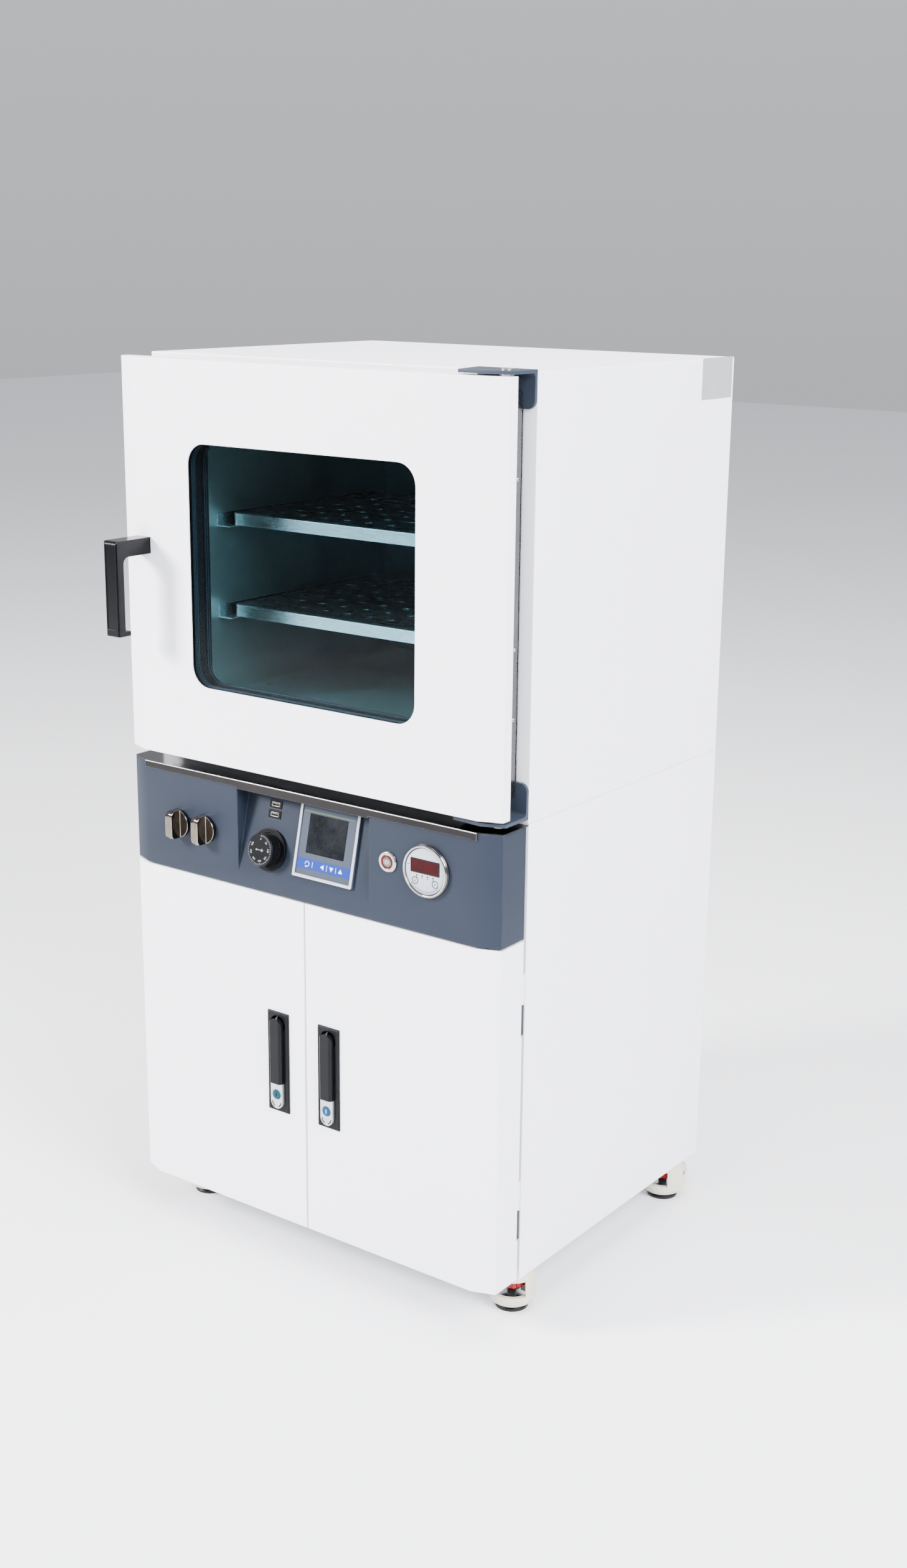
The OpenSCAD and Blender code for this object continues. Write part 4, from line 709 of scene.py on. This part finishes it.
scaleSet = {"levels": (4.3, 4.5), "u": (-12.0, -3.9, 4.2, 12.2), "dotR": 1.05, "dotSteps": 12, "dotV": -6.4,
            "dash": (2.8, 0.6, 0.2, 2), "dashV": -8.9, "minus": (3.4, 0.7, 0.2, 2), "minusAt": (-24.6, 5.8),
            "ticks": 23, "first": 222, "sweep": 96, "from": 24.8, "long": 27.3, "short": 26.6, "half": 0.28}
gaugeKeySet = {"u": (-14.6, 15.4), "v": -13.4, "steps": 32,
               "ring": [(3.8, 4.3), (3.9, 4.65), (4.6, 4.65), (4.7, 4.3)],
               "cap": [(0.0, 4.75), (2.9, 4.7), (3.8, 4.4), (3.9, 4.2)], "levels": (4.6, 4.82),
               "marks": [[(-16.0, -14.2), (-14.6, -12.0), (-13.2, -14.2)],
                         [(14.0, -12.6), (16.8, -12.6), (15.4, -14.8)]]}
gaugeX, _, gaugeZ = middle("vacuum_gauge")
gaugeFace = onFront(gaugeX, gaugeZ, panelFront)


def digitBars():
    # four unlit seven-segment figures
    bars = []
    for u in digitSet["u"]:
        segments = [(0, v, digitSet["flat"]) for v in digitSet["flatV"]]
        segments += [(side * digitSet["uprightU"], v, digitSet["upright"])
                     for v in digitSet["uprightV"] for side in (-1, 1)]
        for du, dv, size in segments:
            bars.append(roundedRect(*size, u0=u + du + dv * digitSet["lean"], v0=digitSet["v"] + dv))
    return bars


def gaugeMarks():
    marks = [circle(scaleSet["dotR"], scaleSet["dotSteps"], u, scaleSet["dotV"]) for u in scaleSet["u"]]
    marks += [roundedRect(*scaleSet["dash"], u0=u, v0=scaleSet["dashV"]) for u in scaleSet["u"]]
    marks.append(shifted(roundedRect(*scaleSet["minus"]), *scaleSet["minusAt"]))
    for i in range(scaleSet["ticks"]):
        a = scaleSet["first"] + scaleSet["sweep"] * i / (scaleSet["ticks"] - 1)
        marks.append(radialBar(a, scaleSet["from"], scaleSet["short" if i % 2 else "long"], scaleSet["half"]))
    return marks


lathe("gaugeDisc", [gaugeFace], gaugeSet["disc"], "gaugeWhite", "cabinet", gaugeSet["steps"])
lathe("gaugeEdgeLine", [gaugeFace], gaugeSet["edgeLine"], "inkDark", "cabinet", gaugeSet["steps"])
lathe("gaugeGroove", [gaugeFace], gaugeSet["groove"], "inkDark", "cabinet", gaugeSet["steps"])
tile("gaugeWindowRim", gaugeFace, gaugeSet["rim"], "lockBlack", "cabinet")
tile("gaugeWindow", gaugeFace, gaugeSet["window"], "displayRed", "cabinet")
plate("gaugeDigits", gaugeFace, digitBars(), digitSet["levels"], "displayRed", "cabinet")
plate("gaugeDots", gaugeFace, gaugeMarks(), scaleSet["levels"], "inkDark", "cabinet")
gaugeKeys = [onFront(gaugeX + u, gaugeZ + gaugeKeySet["v"], panelFront) for u in gaugeKeySet["u"]]
lathe("gaugeKeyRings", gaugeKeys, gaugeKeySet["ring"], "inkDark", "cabinet", gaugeKeySet["steps"])
lathe("gaugeKeys", gaugeKeys, gaugeKeySet["cap"], "gaugeWhite", "cabinet", gaugeKeySet["steps"])
plate("gaugeKeyMarks", gaugeFace, gaugeKeySet["marks"], gaugeKeySet["levels"], "inkDark", "cabinet")

# power button: a red ring round a steel centre, and a groove in its bezel
buttonSet = {
    "ring": [(6.3, 2.5), (6.4, 2.8), (8.2, 2.8), (8.4, 2.3)],
    "centre": [(0.0, 3.1), (4.6, 3.06), (5.8, 2.9), (6.3, 2.4)],
    "groove": [(11.6, 2.5), (11.7, 2.7), (12.0, 2.7), (12.1, 2.45)],
    "markBar": (0.6, 2.8, 0.2, 2), "markBarV": 1.8, "markArc": (2.7, 2.1), "markAngles": range(-230, 51, 20),
    "markLevels": (2.95, 3.16),
}
buttonX, _, buttonZ = middle("power_bezel")
buttonFace = onFront(buttonX, buttonZ, panelFront)
buttonMarks = [roundedRect(*buttonSet["markBar"], v0=buttonSet["markBarV"]),
               arcBand(*buttonSet["markArc"], buttonSet["markAngles"])]
lathe("buttonRing", [buttonFace], buttonSet["ring"], "ringRed", "power_button")
lathe("buttonCentre", [buttonFace], buttonSet["centre"], "buttonSteel", "power_button")
plate("buttonMark", buttonFace, buttonMarks, buttonSet["markLevels"], "inkWhite", "power_button")
lathe("bezelGroove", [buttonFace], buttonSet["groove"], "zincPlate", "cabinet")
print("gauge and button dressed")

# cabinet locks: a key disc with its slot, and two raised arcs under it, all on the release
lockSet = {
    "x": {"left": -42.5, "right": 42.5}, "z": 246.5, "steps": 40,
    "disc": [(0.0, 0.7), (6.0, 0.66), (6.6, 0.45), (6.85, 0.0), (6.9, -0.5)],
    "discFinish": {"left": "keyTeal", "right": "keyBlue"},
    "slot": {"size": (1.9, 6.0, 0.4, 3), "levels": (0.5, 0.82)},
    "slotFinish": {"left": "blackMoulding", "right": "inkGrey"},
    "arc": (8.1, 6.7), "arcStarts": (183, 293), "arcTurn": 6.4, "arcSteps": 11, "arcV": -9.8,
    "arcLevels": (-0.2, 0.25),
}
for side, x in lockSet["x"].items():
    body = "lock_release_" + side
    release = onFront(x, lockSet["z"], frontOf(body))
    arcs = []
    for start in lockSet["arcStarts"]:
        sweep = [start + lockSet["arcTurn"] * i for i in range(lockSet["arcSteps"])]
        arcs.append(arcBand(*lockSet["arc"], sweep, v0=lockSet["arcV"]))
    lathe("keyDisc_" + side, [release], lockSet["disc"], lockSet["discFinish"][side], body, lockSet["steps"])
    tile("keySlot_" + side, release, lockSet["slot"], lockSet["slotFinish"][side], body)
    plate("releaseArcs_" + side, release, arcs, lockSet["arcLevels"], "blackMoulding", body)

# painted highlight: a bright strip along the ledge's front edge, standing in for the light that edge catches
ledgeSet = {"z": 662.8, "glintStrip": {"size": (539.4, 1.0, 0.4, 3), "levels": (-0.3, 0.25), "bevel": 0.1}}
ledgeFace = onFront(0, ledgeSet["z"], frontOf("ledge_trim"))
tile("ledgeGlintStrip", ledgeFace, ledgeSet["glintStrip"], "paintedGlint", "cabinet")

# ribs of the window seal, one ring at each depth, seated in the seal's opening
windowSet = {"z": 930.5, "ribY": (-56.4, -53.8, -51.0, -34.6, -31.0),
             "rib": {"size": (358.1, 309.1, 27.0), "opening": (356.5, 307.5, 26.2),
                     "levels": (-0.45, 0.45)}}
for i, y in enumerate(windowSet["ribY"]):
    tile("windowRib_" + str(i), onFront(0, windowSet["z"], y), windowSet["rib"], "revealBlue", "oven_door")

# painted highlight: a pale line across the foot of the grip, where light catches the edge of its front cover
gripSet = {"up": 8.0, "line": {"size": (14.0, 0.9, 0.3, 3), "levels": (-1.2, -0.7)}}
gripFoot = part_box("oven_handle")[0].z * 1000
gripFace = onFront(middle("oven_handle")[0], gripFoot + gripSet["up"], frontOf("oven_handle"))
tile("gripHighlightLine", gripFace, gripSet["line"], "inkGrey", "oven_handle")

# hexagon socket in the top hinge pin
hingeSet = {"x": 285, "y": -40, "z": 1194.0, "socketR": 3.1, "levels": (-0.4, 0.05)}
plate("hingeSocketTop", onTop(hingeSet["x"], hingeSet["y"], hingeSet["z"]), [circle(hingeSet["socketR"], 6)],
      hingeSet["levels"], "inkDark", "cabinet")

# screws of the back covers and of the door frame's edge; the head's profile is in shares of its radius
screwSet = {
    "steps": 20, "head": [(0.0, 1.5), (0.45, 1.42), (0.8, 1.05), (1.0, 0.35), (1.0, -0.2)],
    "slotLong": 1.1, "slotShort": 0.22, "slotCorner": 0.08, "slotLevels": (1.3, 1.56),
    "coverR": 3.6, "coverY": 456.5, "coverX": (-288, 0, 288), "coverZ": (76, 654, 678, 1175),
    "outerZ": (260, 470, 830, 1030), "edgeR": 2.4, "edgeX": 283, "edgeY": -12, "edgeZ": (791, 874, 1070),
}


def screwHeads(name, places, r, body):
    head = [(r * share, n) for share, n in screwSet["head"]]
    lathe(name, places, head, "zincPlate", body, screwSet["steps"])
    long, short, corner = (r * screwSet[key] for key in ("slotLong", "slotShort", "slotCorner"))
    bm = bmesh.new()
    for place in places:
        for w, h in ((long, short), (short, long)):
            addPlate(bm, place, roundedRect(w, h, corner, 2), *screwSet["slotLevels"])
    finishPiece(name + "Slots", meshFrom(name + "Slots", bm), "inkDark", body)


coverSpots = [(x, z) for x in screwSet["coverX"] for z in screwSet["coverZ"]]
coverSpots += [(x, z) for z in screwSet["outerZ"] for x in screwSet["coverX"] if x]
coverPlaces = [onBack(x, z, screwSet["coverY"]) for x, z in coverSpots]
edgePlaces = [onRight(screwSet["edgeY"], z, screwSet["edgeX"]) for z in screwSet["edgeZ"]]
screwHeads("coverScrews", coverPlaces, screwSet["coverR"], "cabinet")
screwHeads("edgeScrews", edgePlaces, screwSet["edgeR"], "oven_door")

# bare foil plate at the top of the right side
foilSet = {"x": 300, "y": 411, "z": 1164,
           "plate": {"size": (78, 52, 1.5), "levels": (-0.1, 0.35), "bevel": 0.1}}
foilFace = onRight(foilSet["y"], foilSet["z"], foilSet["x"])
tile("blankPlate", foilFace, foilSet["plate"], "blankFoil", "cabinet")
print("locks, window and fittings dressed")

# small radius at the bends of sheet and the edges of mouldings, in metres
bendSet = {
    "angle": 38, "segments": 2, "weld": 0.00001, "normalWeight": 90,
    "radius": {
        "upper_case": 0.0012, "lower_cabinet": 0.0012, "oven_door_skin": 0.0014,
        "cabinet_door_left": 0.0012, "cabinet_door_right": 0.0012, "control_panel": 0.0012,
        "hinge_plate_top": 0.0008, "hinge_plate_bottom": 0.0008, "oven_handle": 0.0012, "ledge_trim": 0.0004,
        "lock_body_left": 0.0004, "lock_body_right": 0.0004, "lock_lever_left": 0.0008,
        "lock_lever_right": 0.0008, "lock_release_left": 0.0006, "lock_release_right": 0.0006,
        "shelf_lower": 0.0008, "shelf_upper": 0.0008,
    },
}
for name, radius in bendSet["radius"].items():
    weld = nodes[name].modifiers.new("join", "WELD")
    weld.merge_threshold = bendSet["weld"]
    bend = nodes[name].modifiers.new("bend", "BEVEL")
    bend.width, bend.segments = radius, bendSet["segments"]
    bend.limit_method, bend.angle_limit = "ANGLE", math.radians(bendSet["angle"])
    bend.use_clamp_overlap, bend.harden_normals = True, False
    level = nodes[name].modifiers.new("levelNormals", "WEIGHTED_NORMAL")
    level.weight, level.keep_sharp = bendSet["normalWeight"], True
print("bends rounded:", len(bendSet["radius"]))

# pale floor and plain soft light
studio = {
    "floor": rgb(232, 233, 236), "floorShade": 0.97, "cloudScale": 0.6, "cloudDetail": 2.0,
    "floorRough": 0.85, "floorSpecular": 0.15, "floorHalf": 14.0, "floorCells": 12, "floorDrop": 0.0002,
    "sky": rgb(240, 242, 247), "low": rgb(205, 206, 210), "fade": (-0.06, 0.34), "worldStrength": 0.95,
    "aim": (0, 0, 0.6),
}
lamps = {
    "key": {"place": (-2.6, -3.2, 2.6), "size": 1.3, "power": 760.0, "color": (1.0, 0.99, 0.98)},
    "fill": {"place": (3.4, -1.2, 2.9), "size": 2.4, "power": 610.0, "color": (0.98, 0.99, 1.0)},
    "top": {"place": (0.4, 0.4, 3.6), "size": 2.4, "power": 200.0, "color": (1.0, 1.0, 1.0)},
}


def makeFloor():
    bm = bmesh.new()
    bmesh.ops.create_grid(bm, x_segments=studio["floorCells"], y_segments=studio["floorCells"],
                          size=studio["floorHalf"])
    mesh = bpy.data.meshes.new("studioFloor")
    bm.to_mesh(mesh)
    bm.free()
    obj = bpy.data.objects.new("studioFloor", mesh)
    bpy.context.scene.collection.objects.link(obj)
    obj.location.z = -studio["floorDrop"]
    mat = bpy.data.materials.new("floorPale")
    mat.use_nodes = True
    t = mat.node_tree
    bsdf = t.nodes["Principled BSDF"]
    cloud = put(t, "TexNoise", Vector=objectCoord(t), Scale=studio["cloudScale"],
                Detail=studio["cloudDetail"]).outputs[0]
    shade = tuple(v * studio["floorShade"] for v in studio["floor"][:3]) + (1.0,)
    t.links.new(mixColour(t, cloud, studio["floor"], shade), bsdf.inputs["Base Color"])
    bsdf.inputs["Roughness"].default_value = studio["floorRough"]
    bsdf.inputs["Specular IOR Level"].default_value = studio["floorSpecular"]
    mesh.materials.append(mat)


def makeWorld():
    world = bpy.data.worlds.new("studioWorld")
    bpy.context.scene.world = world
    world.use_nodes = True
    t = world.node_tree
    background = t.nodes["Background"]
    rise = put(t, "SeparateXYZ", Vector=put(t, "TexCoord").outputs["Generated"]).outputs["Z"]
    fade = spread(t, rise, 0.0, 1.0, *studio["fade"])
    t.links.new(mixColour(t, fade, studio["low"], studio["sky"]), background.inputs["Color"])
    background.inputs["Strength"].default_value = studio["worldStrength"]


makeFloor()
makeWorld()
for name, lamp in lamps.items():
    data = bpy.data.lights.new(name, "AREA")
    data.shape, data.size, data.energy, data.color = "DISK", lamp["size"], lamp["power"], lamp["color"]
    obj = bpy.data.objects.new(name, data)
    bpy.context.scene.collection.objects.link(obj)
    obj.location = lamp["place"]
    obj.rotation_euler = (Vector(studio["aim"]) - obj.location).to_track_quat("-Z", "Y").to_euler()

# right, up and back are the camera's own axes
shot = {"place": (1514.58, -1817.18, 1319.30), "right": (0.80615468, 0.59161434, 0.01034898),
        "up": (-0.16631465, 0.20977191, 0.96350152), "back": (0.56785039, -0.77845245, 0.26750274),
        "lens": 44.21, "sensor": 36}
camera = bpy.data.objects.new("camera", bpy.data.cameras.new("camera"))
bpy.context.scene.collection.objects.link(camera)
turn = Matrix((shot["right"], shot["up"], shot["back"])).transposed().to_4x4()
camera.matrix_world = Matrix.Translation(at(*shot["place"])) @ turn
camera.data.sensor_fit, camera.data.lens = "AUTO", shot["lens"]
camera.data.sensor_width, camera.data.sensor_height = shot["sensor"], shot["sensor"]
bpy.context.scene.camera = camera
print("studio set")

bpy.context.view_layer.update()
